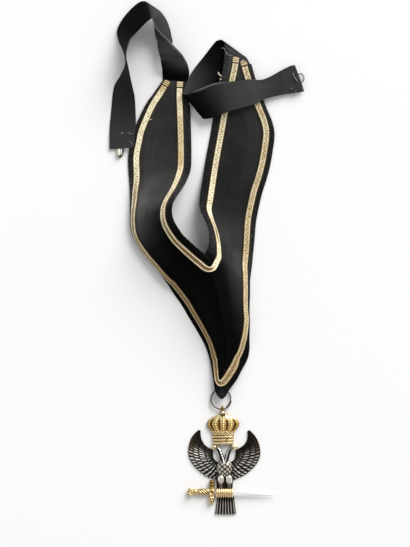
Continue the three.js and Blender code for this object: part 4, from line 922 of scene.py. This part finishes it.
def wirePiece(name):
    # a round wire along a smooth line, flattened forms that widen from it, and sewing loops
    spec = wires[name]
    shape = Shape(name)
    path, loops = (np.array(spec[key]) @ spec["axes"] + spec["middle"] for key in ("path", "loops"))
    shape.bar(through([(x, y, spec["z"]) for x, y in path], 90), spec["wire"], 14, tarnish=0.85)
    share = column(0, 1, 40)
    for points, wide in spec["bent"]:
        radius = spec["wire"] * (1.1 + (wide - 1.1) * smooth(0.25, 0.55, share))
        shape.bar(through(points, 40), radius, 16, squash=0.6, tarnish=smooth(0.68, 0.36, share))
    for x, y in loops:
        shape.hoop((x, y, spec["z"]), spec["loop"], spec["wire"], 40, 12, tarnish=spec["tarnish"])
    return shape


def ringPiece():
    # a split ring: one turn of wire whose two ends lie beside each other for a while
    spec = wires["ring"]
    share = column(0, 1, 240)
    turn = spec["join"] - spec["overlap"] + (fullTurn + 2 * spec["overlap"]) * share
    first, last = smooth(0.2, 0.12, share), smooth(0.8, 0.88, share)
    radius = (spec["outside"] - spec["wire"]) / 2 + spec["apart"] * (last - first)
    x, y = np.cos(turn) * radius, np.sin(turn) * radius
    thick = (spec["wire"] / 2 * (1 - 0.2 * (first + last))
             * (1 - 0.5 * smooth(0.015, 0, np.minimum(share, 1 - share))))
    path = plan(spec["middle"]) + stacked(x, y, -y * spec["tilt"])[:, 0]
    return Shape("ring").bar(path, thick, 20, tarnish=0.3)


def loopPiece():
    # a flat closed band, rounded at its corners, whose inside lets the ring pass
    spec, ring = wires["loop"], wires["ring"]
    half, wide = spec["thickness"] / 2, spec["width"] / 2
    room = ring["wire"] / 2 + 0.32 + half
    near, far = -room - 0.5, spec["reach"] + half
    turn = around(spec["cells"])
    up, out = (np.sign(part) * np.abs(part) ** spec["corner"]
               for part in (np.sin(turn), np.cos(turn)))
    up, out = up * room, out * (far - near) / 2
    x, y, z = ring["middle"]
    top = plan((x, y - (ring["outside"] - ring["wire"]) / 2, z - ring["tilt"] * 10))
    middle, outward = stacked(0, (near + far) / 2 + out, up), unit(stacked(0, out, up * 1.6))
    corners = ((-wide, half), (wide, half), (wide, -half), (-wide, -half))
    grid = np.stack([top + middle + outward * high + (side, 0, 0) for side, high in corners], 1)
    # nap is low: painted shade keeps the loop near black
    return Shape("ringLoop").put(grid, roundFaces(len(turn), 4, True), hem=0.3, nap=0.1,
                                 along=walked(middle)[:, None], across=[0, 6, 6, 0])


threads = {
    # loose ends: plan x, y and height of points along each, and its radius
    "grey": [([(221.5, 48.5, 5.9), (224.5, 49, 7.3), (226, 53, 7.2), (228.5, 55.5, 7.1),
               (232, 56, 7.4)], 0.32),
             ([(292.5, 73, 5.6), (294, 77, 5.7), (297.5, 82, 5.7)], 0.55),
             ([(290.2, 88, 5.4), (291, 88.5, 5.7), (292.4, 89.4, 5.4)], 0.4),
             ([(294.6, 92, 5.4), (295.5, 93.2, 5.5), (297.6, 92.6, 5.3)], 0.35),
             ([(301.5, 89.2, 5.4), (302.7, 90, 5.6), (304, 90.4, 5.4)], 0.4),
             ([(118.6, 138.6, 2.9), (121, 135.9, 3.6), (124.6, 136, 4.1), (127.2, 138.6, 4.5)],
              0.3),
             ([(128.2, 131.5, 5.3), (130.2, 134, 5.9), (133.2, 133.4, 6.6)], 0.3),
             ([(127.6, 140.6, 5.2), (130.6, 142, 5.9), (133.6, 145.2, 6.8)], 0.3)],
    "pale": [([(217.8, 72.4, 3.4), (219.2, 74.6, 3.9), (221.2, 76.8, 6.2)], 0.6),
             ([(219.8, 79.2, 5.6), (221.4, 80, 6.4)], 0.6),
             ([(145.8, 121.5, 4.6), (148, 119.7, 5.6), (150, 120, 5.9), (152.4, 118.9, 5.4)], 0.28),
             ([(121.6, 133.6, 4.2), (122.4, 132.8, 4.4), (123.4, 133.6, 4.4)], 0.25)],
}


def threadPiece(name, kind):
    # thin bars along slightly waved lines, pointed at both ends
    shape, share = Shape(name), column(-1, 1, 40)
    for points, radius in threads[kind]:
        path = through(points, 40) + 0.12 * np.sin(5.5 * (share + 1)) * (1, 0.6, 0)
        shape.bar(path, radius * (1 - 0.5 * share ** 6), 8)
    return shape


dress(threadPiece("looseThreads", "grey"), greyThread)
dress(threadPiece("looseLaceThreads", "pale"), paleThread)
dress(wirePiece("hook"), plated, "hook")
dress(wirePiece("eye"), plated, "eye")
dress(ringPiece(), ringMetal, "ring")
dress(loopPiece(), strapCloth, "ring_loop")
print("stage: hook, eye and ring")


# crown: a closed crown in relief, five arches in view over a stepped circlet

crown = {
    "middle": 223.1, "rowsDown": 250, "rowsAcross": 150,
    # plan y, half width, height of the middle
    "outline": [(414.2, 2.6, 3.2), (415.0, 5.6, 3.5), (416.4, 9.6, 4.0), (419.5, 14.5, 4.7),
                (423.8, 16.5, 5.0), (427.4, 15.0, 4.9), (430.6, 12.0, 4.5), (432.4, 10.8, 4.2),
                (434.4, 10.5, 4.3), (437.4, 10.5, 4.7), (441.0, 10.2, 4.7), (444.8, 9.9, 4.6)],
    # where each arch lies, as a share of the half width, and its own half width in mm
    "arches": [(-0.93, 2.3), (-0.5, 3.1), (0.0, 3.3), (0.5, 3.1), (0.93, 2.3)],
    # plan y of each band of the circlet, its half height and how far it stands out
    "bands": [(436.6, 1.0, 0.95), (439.8, 1.05, 0.85), (443.0, 1.35, 1.15)],
    # hanger: two strands over the ring, joined inside it, and one strand back under it
    "front": [(220.8, 412.4, 3.6), (221, 410, 4.7), (221.9, 406.6, 4.4), (222.6, 406.5, 4.4),
              (223.9, 410, 4.7), (224.6, 412.4, 3.6)],
    "behind": [(222.3, 406.6, 4.3), (222.3, 405.7, 3.1), (222.3, 406.8, 1.5), (222.6, 410, 1.3),
               (222.8, 412.4, 2.6)],
}


def crownPiece():
    # each row is half a turn seen from the front, as wide as the outline and squashed to a dome;
    # beaded arches, leaves and bands stand on it
    y, half, high = profile(crown["outline"], crown["rowsDown"])
    weights = np.hanning(17) / np.hanning(17).sum()
    half, high = (np.convolve(np.pad(line[:, 0], 8, mode="edge"), weights, "valid")[:, None]
                  for line in (half, high))
    s = np.sin(np.linspace(-np.pi / 2, np.pi / 2, crown["rowsAcross"]))
    x = s * half
    dome = high * (0.34 + 0.66 * np.sqrt(np.clip(1 - 0.86 * s * s, 0, 1)))
    arch, bright = np.zeros(x.shape), np.zeros(x.shape)
    for share, wide in crown["arches"]:
        middle = share * half * (1 - 0.12 * smooth(421, 415, y))
        off = (x - middle) / (wide * (0.55 + 0.45 * half / 16.5))
        body = smooth(1.15, 0.8, np.abs(off))
        rims = hump(np.abs(off), 0.78, 0.2)
        beads = hump(off, 0, 0.36) * (0.5 + 0.5 * np.cos((y - 414) * fullTurn / 1.75))
        arch = np.maximum(arch, body * (0.55 + 0.3 * rims + 0.45 * beads))
        bright = np.maximum(bright, body * (0.3 + 0.35 * rims + 0.65 * beads))
    lid = smooth(420.5, 417, y + 0.8 * np.cos(x * 1.3))
    arch = np.maximum(arch, lid * 0.75)
    bright = np.maximum(bright, lid * (0.6 + 0.2 * np.cos(x * 2.1)))
    upper = smooth(433.2, 431.4, y) * smooth(413.9, 415.2, y)
    height = dome + (arch * 1.35 - 1.25) * upper
    relief = (0.05 + bright * (0.62 + 0.55 * smooth(427, 416, y))) * upper
    relief = relief * (1 - 0.45 * smooth(0.72, 1.0, np.abs(s)) * smooth(418, 424, y))
    # leaves that stand on the circlet: crossing slanted ridges
    leaves = smooth(430.2, 431.2, y) * smooth(435.3, 434.7, y)
    slant = sum(np.abs(np.sin((x + way * y) * np.pi / 2.9)) ** 3 for way in (1, -1))
    height = height + leaves * (0.65 * np.clip(slant, 0, 1.2) - 0.2)
    relief = np.maximum(relief * (1 - leaves * 0.6), leaves * np.clip(slant - 0.1, 0, 1) * 0.7)
    lower = smooth(434.9, 435.3, y)
    bands = np.max([out * smooth(tall + 0.3, tall - 0.3, np.abs(y - middle))
                    for middle, tall, out in crown["bands"]], axis=0)
    notch = 0.6 * (hump(x, 3.6, 0.8) * hump(y, 439.8, 1.3)
                   + hump(x, 1.6, 0.5) * hump(y, 441.6, 1.2))
    height = np.clip(height + lower * (bands - 0.9 - 0.8 * notch), 0.6, 6.5)
    relief = relief * (1 - lower) + lower * np.clip(0.12 + bands * 0.75 - notch, 0, 1)
    top = crown["middle"]
    shape = Shape("crown").relief(x + top, y, height, relief=relief)
    shape.ball((top - 0.2, 412.6, 4.2), (1.95, 1.9, 1.7), 24, 32, relief=0.8)
    neck = plan([(top - 0.2, 411.4, 2.9), (top - 0.2, 413, 2.9), (top, 415.8, 3.1)])
    shape.bar(neck, np.array([[2.0], [2.3], [2.4]]), 20, relief=0.12)
    shape.bar(through(crown["front"], 70), 0.55, 14, relief=0.22)
    return shape.bar(through(crown["behind"], 50), 0.55, 14, relief=0.22)


dress(crownPiece(), gilt, "crown")
print("stage: crown")


# eagle: two wings in fans of feathers, necks and heads, scaled breast, legs, claws and tail

eagle = {
    # rows of the fans: plan x, y at the shoulder, at the middle and at the outer edge
    "leftWing": [
        (212.5, 449.3, 203.2, 442.6, 200.6, 430.5), (212.6, 450.2, 202.0, 443.4, 198.4, 430.2),
        (212.8, 451.4, 200.6, 445.0, 194.6, 433.6), (213.0, 452.6, 199.6, 447.2, 191.4, 437.8),
        (213.0, 453.8, 199.2, 449.6, 189.4, 443.4), (213.1, 455.0, 199.4, 452.4, 188.4, 449.4),
        (213.3, 456.4, 200.2, 456.0, 188.7, 455.4), (213.6, 457.8, 201.6, 459.4, 190.8, 460.8),
        (214.2, 459.0, 203.8, 462.6, 194.2, 465.8), (215.2, 460.2, 207.0, 466.2, 198.8, 470.4),
        (216.6, 461.4, 210.8, 469.2, 204.4, 474.9), (218.4, 462.6, 214.6, 471.4, 211.0, 478.2),
        (220.8, 464.0, 219.0, 472.6, 218.0, 480.0)],
    "rightWing": [
        (236.0, 449.3, 245.6, 442.6, 247.5, 431.0), (236.0, 450.2, 246.8, 443.4, 249.6, 430.4),
        (235.8, 451.4, 248.2, 445.0, 253.4, 434.0), (235.6, 452.6, 249.2, 447.2, 256.8, 438.6),
        (235.6, 453.8, 249.6, 449.6, 259.0, 444.0), (235.5, 455.0, 249.4, 452.4, 260.2, 449.8),
        (235.3, 456.4, 248.6, 456.0, 260.1, 455.8), (235.0, 457.8, 247.2, 459.4, 258.2, 461.2),
        (234.4, 459.0, 245.0, 462.6, 254.8, 466.2), (233.4, 460.2, 241.8, 466.2, 250.4, 470.5),
        (232.0, 461.4, 238.0, 469.2, 244.8, 474.7), (230.2, 462.6, 234.2, 471.4, 238.0, 478.0),
        (228.0, 464.0, 229.8, 472.6, 231.0, 481.0)],
    # tiers of feathers: from and to, as shares of the fan, feathers in the fan, height
    "tiers": [(0.0, 0.3, 13, 0.45), (0.26, 0.56, 16, 0.6), (0.52, 0.8, 18, 0.7),
              (0.76, 1.0, 20, 0.7)],
    "fan": (176, 66),  # grid rows down and across each wing
    # necks: plan y, height, and plan x of the left and the right one
    "necks": [(447.4, 3.0, 217.4, 231.2), (450.6, 3.1, 219.6, 229), (456, 3.3, 221.4, 227.2),
              (460.4, 3.6, 222.6, 226.2), (464, 3.8, 223.6, 225.4)],
    # beaks: out from the head, plan y and height; then points, radii, sides, relief and gilding
    "beaks": [([(1.4, 447.0, 3.6), (3.6, 446.7, 3.8), (5.6, 447.3, 3.4), (6.6, 449.0, 2.9)],
               30, 1.35, 0.18, 16, 0.8, 0.85),
              ([(1.4, 448.4, 3.1), (3.2, 448.9, 3.0), (4.8, 449.2, 2.8)],
               20, 0.8, 0.15, 14, 0.6, 0.8)],
    "leg": [(474.5, 3.2), (477.5, 3.9), (481, 3.9), (485, 3.2), (489.6, 2.6)],
    # claws over the blade: plan x past the first, plan y, height
    "claw": [(0, 488.2, 1.9), (0, 489.3, 4.1), (0.1, 492.7, 5.3), (0, 496, 4.2), (0, 497.6, 1.7)],
    # the dark ground under breast, legs and claws: plan y, half width
    "ground": [(459.6, 3), (463, 6.6), (468, 9.4), (476, 9), (484, 8), (490, 7.8), (498, 8.4)],
    "scales": (70, 120),  # rows down and points round the breast
    "tail": {"cells": (60, 113), "feathers": 7, "top": 496.4, "end": 514.6, "middle": 225.6},
}


def wingRelief(shape, rows, seed, polish):
    # fan: a curve through the three points of each row; feather: rounded across with a worn
    # line along its middle; the lower feathers are rubbed bright, the upper ones are black
    downRows, acrossRows = eagle["fan"]
    v, u = column(0, 1, downRows), np.linspace(0, 1, acrossRows)
    line = alongRows(rows, v * (len(rows) - 1))
    a, b, c = line[..., 0:2], line[..., 2:4], line[..., 4:6]
    w = u[:, None]
    place = a * (2 * w - 1) * (w - 1) + b * 4 * w * (1 - w) + c * w * (2 * w - 1)
    height = np.full((downRows, acrossRows), 1.3)
    relief = np.zeros(height.shape)
    rubbed = (smooth(0.3, 0.6, v + 0.14 * hump(u, 0.5, 0.3)) * smooth(1.0, 0.9, v)
              * smooth(0.08, 0.3, u) * polish)
    for k, (low, high, count, rise) in enumerate(eagle["tiers"]):
        along = np.clip((u - low) / (high - low), 0, 1)
        inside = smooth(low - 0.02, low + 0.04, u) * smooth(high + 0.02, high - 0.02, u)
        slip = 0.5 * (k % 2) + 0.12 * np.sin(seed + v * 23 + k) + 0.25 * along ** 2
        off = np.abs((v * count + slip) % 1 - 0.5) * 2
        tipOff = off * (1 + 0.4 * smooth(0.72, 1.0, along))
        blade = np.sqrt(1 - np.clip(tipOff, 0, 1) ** 2)
        quill = hump(off, 0, 0.48)
        raised = inside * rise * (0.45 * blade + 0.55 * quill) * (0.5 + 0.5 * along)
        height = np.maximum(height, 1.3 + raised)
        worn = (0.24 + 0.1 * smooth(0.2, 0.4, v)
                + 0.8 * rubbed * (0.8 + 0.2 * np.sin(v * 61 + k * 2 + seed)))
        worn = worn * inside * quill * smooth(1.0, 0.72, along) * smooth(-0.1, 0.3, along)
        relief = np.maximum(relief, worn)
    height = height + smooth(0.03, 0.0, u) * 0.25 - 0.5 * smooth(0.975, 1.0, u)
    brown = 0.07 * hump(v, 0.4, 0.2) * smooth(0.5, 0.85, u)
    shape.relief(place[..., 0], place[..., 1], height, relief=np.clip(relief, 0, 1), gilded=brown)


def headSurfaces(shape, middle, side, neck):
    # one neck with its plumes, then the head, its brow and its beak
    share, i, turn = column(0, 1, 60), column(0, 59, 60), around(20)
    plume = 1 + 0.09 * np.cos(7 * turn + i * 0.12) + 0.03 * np.sin(i * 0.9)
    shape.bar(through(neck, 60), (1.55 + 0.9 * share + 0.25 * hump(share, 0, 0.18)) * plume, 20,
              relief=0.1 + 0.65 * hump(turn, np.pi / 2 - side * 0.5, 0.6), gilded=0.0)
    shape.ball((middle, 447.6, 3.2), (2.5, 2.1, 2.0), 22, 28, relief=0.4, gilded=0.25)
    shape.ball((middle + side * 0.7, 446.9, 4.8), (0.75, 0.65, 0.5), 14, 16, relief=0.15,
               gilded=0.0)
    for points, count, wide, tip, sides, relief, gilded in eagle["beaks"]:
        path = through([(middle + side * out, y, z) for out, y, z in points], count)
        shape.bar(path, wide * (1 - column(0, 1, count) ** 2) + tip, sides, relief=relief,
                  gilded=gilded)


def eaglePiece():
    shape = Shape("eagle")
    wingRelief(shape, eagle["leftWing"], 0.3, 1.0)
    wingRelief(shape, eagle["rightWing"], 1.9, 0.7)
    headSurfaces(shape, 217.0, -1, [(left, y, z) for y, z, left, right in eagle["necks"]])
    headSurfaces(shape, 231.4, 1, [(right, y, z) for y, z, left, right in eagle["necks"]])
    # breast: scales where two slanted waves cross
    rows, sides = eagle["scales"]
    a, b = (np.sin(5.5 * (around(sides) * 0.75 + way * column(0, np.pi, rows))) for way in (1, -1))
    scales = 0.07 * (np.abs(a * b) ** 0.6 - 0.4)
    shape.ball((224.5, 467.8, 3.4), (7.6, 8.6, 3.2), rows, sides, scales,
               relief=np.clip(0.3 + scales * 17, 0, 1), gilded=0.12)
    y, half = profile(eagle["ground"], 44)
    s = np.linspace(-1, 1, 30)
    height = 1.5 + 0.5 * np.sqrt(1 - s * s) + 0 * y
    height = np.where((y > 489.4) & (y < 496.6), np.minimum(height, 1.9), height)
    shape.relief(224.7 + s * half, y, height, relief=0.15, gilded=0.0)
    # legs
    share, i = column(0, 1, 60), column(0, 59, 60)
    radius = 3.3 * smooth(-0.15, 0.25, share) * (1 - 0.42 * smooth(0.45, 0.8, share))
    radius = radius * (1 + 0.05 * np.cos(i * 0.8) * smooth(28, 40, i))
    glow = 0.6 * smooth(0.7, 0.45, share) * smooth(0.05, 0.2, share) + 0.4
    for x in (220.9, 229.0):
        shape.bar(through([(x, y, z) for y, z in eagle["leg"]], 60), radius, 24, relief=glow,
                  gilded=0.12)
    # claws
    radius = 0.98 * (0.8 + 0.2 * np.sin(column(0, 3.14, 40)))
    for k in range(8):
        shape.bar(through([(217.2 + k * 2.13 + x, y, z) for x, y, z in eagle["claw"]], 40),
                  radius, 16, relief=0.85, gilded=1.0)
    return tailRelief(shape)


def tailRelief(shape):
    # seven feathers side by side, each with a quill line and a rounded end
    spec = eagle["tail"]
    down, across = spec["cells"]
    v, s = column(0, 1, down), np.linspace(-1, 1, across)
    off = np.abs((s + 1) / 2 * spec["feathers"] % 1 - 0.5) * 2
    end = spec["end"] - 0.9 * off ** 2.5 - 0.5 * s ** 2
    y = spec["top"] + v * (end - spec["top"])
    blade, quill = np.sqrt(np.clip(1 - off ** 2.2, 0, 1)), hump(off, 0, 0.16)
    barbs = 0.5 + 0.5 * np.cos((y + off * 2.2) * 5.2)
    height = (1.2 + 0.95 * blade + 0.25 * quill + 0.06 * barbs * blade
              - 0.4 * smooth(0.96, 1, v))
    relief = np.clip(blade ** 3 * 0.42 + quill * 0.5 - 0.35 * smooth(0.45, 0.1, v) * blade, 0, 1)
    return shape.relief(spec["middle"] + s * (8.2 + v * 2.2), y, height, relief=relief,
                        gilded=0.12 * quill)


dress(eaglePiece(), oxidised, "eagle")
print("stage: eagle")


# sword: pommel, twisted grip, guard with a boss, and the blade

sword = {
    "axis": 491.7, "z": 3.1, "start": 186.8,
    # distance along, radius
    "hilt": [(0.0, 0.05), (0.4, 1.6), (2.0, 3.4), (4.2, 4.1), (6.6, 3.5), (8.4, 2.1), (9.4, 2.6),
             (10.4, 2.2), (11.4, 2.8), (13.5, 3.3), (17.0, 3.5), (20.4, 3.0), (22.2, 2.0),
             (23.8, 2.1)],
    # plan y down the guard, half width, half height
    "guard": [(480.0, 2.2, 1.9), (480.5, 2.9, 2.4), (482.0, 3.0, 2.5), (483.4, 2.4, 2.2),
              (484.6, 2.7, 2.3), (486.8, 2.3, 2.1), (488.4, 2.9, 2.5), (491.8, 3.1, 2.7),
              (495.0, 2.9, 2.5), (496.4, 2.3, 2.1), (497.8, 3.2, 2.5), (499.4, 2.5, 2.2),
              (500.6, 2.8, 2.2), (502.4, 1.8, 1.6), (504.4, 0.9, 0.9), (506.0, 0.2, 0.2)],
    "guardX": (212.2, 211.4),
    "blade": [(215.4, 2.15), (236.0, 2.15), (262.0, 1.4), (272.0, 0.8), (277.0, 0.12)],
    "boss": (212.0, 491.7, 5.5),
    "strand": (7, 2.8),  # strands round the grip, and the length of their pattern
    "bladeMiddle": (493.6, 3.2, 1.2),  # plan y, height, and how far its tip hangs down
}


def hiltPiece():
    # a turned outline, with strands round its grip and petals round its pommel
    shape, turn = Shape("swordHilt"), around(96)
    x, base = profile(sword["hilt"], 170, curved=True)
    onGrip = smooth(10.6, 11.6, x) * smooth(22.4, 21.6, x)
    onKnob = smooth(0.2, 1.4, x) * smooth(8.4, 7.4, x)
    count, pitch = sword["strand"]
    strands = 0.5 + 0.5 * np.cos(count * turn - x * fullTurn / pitch)
    petals = 0.5 + 0.5 * np.cos(6 * turn + 0.7 * x)
    radius = base * (1 - onGrip * 0.18 * (1 - strands) - onKnob * 0.15 * (1 - petals))
    relief = 0.55 + onGrip * (strands - 0.68) * 1.3 + onKnob * (petals - 0.7) * 0.9
    start = plan((sword["start"], sword["axis"], sword["z"]))
    grid = start + stacked(x, radius * np.cos(turn), radius * np.sin(turn) * 0.75)
    shape.tube(grid, start + (-0.05, 0, 0), start + (x[-1, 0], 0, 0),
               relief=np.clip(relief, 0, 1))
    shape.hoop((191.4, 491.8, 5.7), 2.2, 0.55, 50, 12, relief=0.9)
    # guard: leaves below the boss, and slow beads all along
    y, wide, tall = profile(sword["guard"], 150, curved=True)
    wide[[0, -1]] = tall[[0, -1]] = 0
    middle = np.interp(y, [480, 506], sword["guardX"])
    leaf, beads = smooth(494, 497, y) * np.cos(6 * turn + y * 0.9), np.cos(y * 2.4)
    scroll = 1 + 0.08 * leaf + 0.04 * beads
    grid = plan(middle + wide * np.cos(turn) * scroll, y, sword["z"] + tall * np.sin(turn) * scroll)
    worn = 0.55 + 0.35 * leaf + 0.12 * beads - 0.38 * smooth(490, 487, y)
    shape.rings(grid, relief=np.clip(worn, 0, 1))
    # boss with a raised ring
    shape.ball(sword["boss"], (2.5, 2.5, 0.9), 20, 30, relief=0.2)
    return shape.hoop(np.add(sword["boss"], (0, 0, 0.5)), 2.35, 0.55, 60, 14, relief=0.95)


def bladePiece():
    # a flat lozenge section with a shallow channel along the upper part
    x, half = profile(sword["blade"], 160)
    s = np.linspace(-1, 1, 41)
    y, z, drop = sword["bladeMiddle"]
    y = y + drop * smooth(236, 277, x) + s * half
    slim = np.clip(half / 1.6, 0.25, 1)
    channel = hump(s, 0, 0.3) * smooth(262, 240, x) * 0.28
    top = plan(x, y, z + 0.7 * (0.35 + 0.65 * (1 - np.abs(s))) * slim - channel)
    grid = np.concatenate([top, plan(x, y, z - 0.55 * slim)[:, ::-1]], 1)
    return Shape("swordBlade").put(grid, flatFaces(*grid.shape[:2]))


dress(hiltPiece(), gilt, "sword_hilt")
dress(bladePiece(), polished, "sword_blade")
print("stage: sword")


# floor, light and camera

scenery = {
    # the floor's side and the camera's height above it in metres, and its sensor's height in mm
    "floor": 6.0, "camera": 4.0, "sensor": 24.0,
    # plan mm: the height of the frame, and the place at its middle
    "frameHigh": 547.0, "middle": (205.0, 273.5, 0.0),
    "world": 0.5,  # the sky's strength
    # each lamp: turn from +x and height above the table in degrees, distance, size, power, colour
    "lamps": {"key": (58, 32, 14.0, 9.0, 2250.0, (1, 0.99, 0.98)),
              "fill": (174, 30, 2.3, 0.8, 2.0, (0.97, 0.98, 1))},
}


def studio():
    half = scenery["floor"] / 2
    mesh = bpy.data.meshes.new("floor")
    corners = [(-half, -half, 0), (half, -half, 0), (half, half, 0), (-half, half, 0)]
    mesh.from_pydata(corners, [], [(0, 1, 2, 3)])
    mesh.materials.append(Finish("pale floor", Roughness=0.9,
                                 Base_Color=(0.93, 0.93, 0.93, 1)).material)
    ground = placed("floor", mesh)
    sky = bpy.data.worlds.new("studio")
    sky.use_nodes = True
    glow = sky.node_tree.nodes["Background"].inputs
    glow[0].default_value, glow[1].default_value = (1, 1, 1, 1), scenery["world"]
    bpy.context.scene.world = sky
    for name, (turn, rise, away, size, power, colour) in scenery["lamps"].items():
        data = bpy.data.lights.new(name, "AREA")
        data.size, data.energy, data.color = size, power, colour
        turn, rise = np.radians([turn, rise])
        level = np.cos(rise)
        place = Vector((np.cos(turn) * level, np.sin(turn) * level, np.sin(rise))) * away
        lamp = placed(name, data)
        lamp.location, lamp.rotation_euler = place, (-place).to_track_quat("-Z", "Y").to_euler()
    data = bpy.data.cameras.new("camera")
    data.sensor_fit, data.sensor_height, data.clip_end = "VERTICAL", scenery["sensor"], 20.0
    data.lens = scenery["camera"] / (scenery["frameHigh"] * mm) * scenery["sensor"]
    camera = placed("camera", data)
    camera.location = plan(scenery["middle"]) * mm + upward * scenery["camera"]
    bpy.context.scene.camera = camera
    bpy.context.scene.view_settings.view_transform = "Standard"


studio()
print("stage: floor, light and camera")
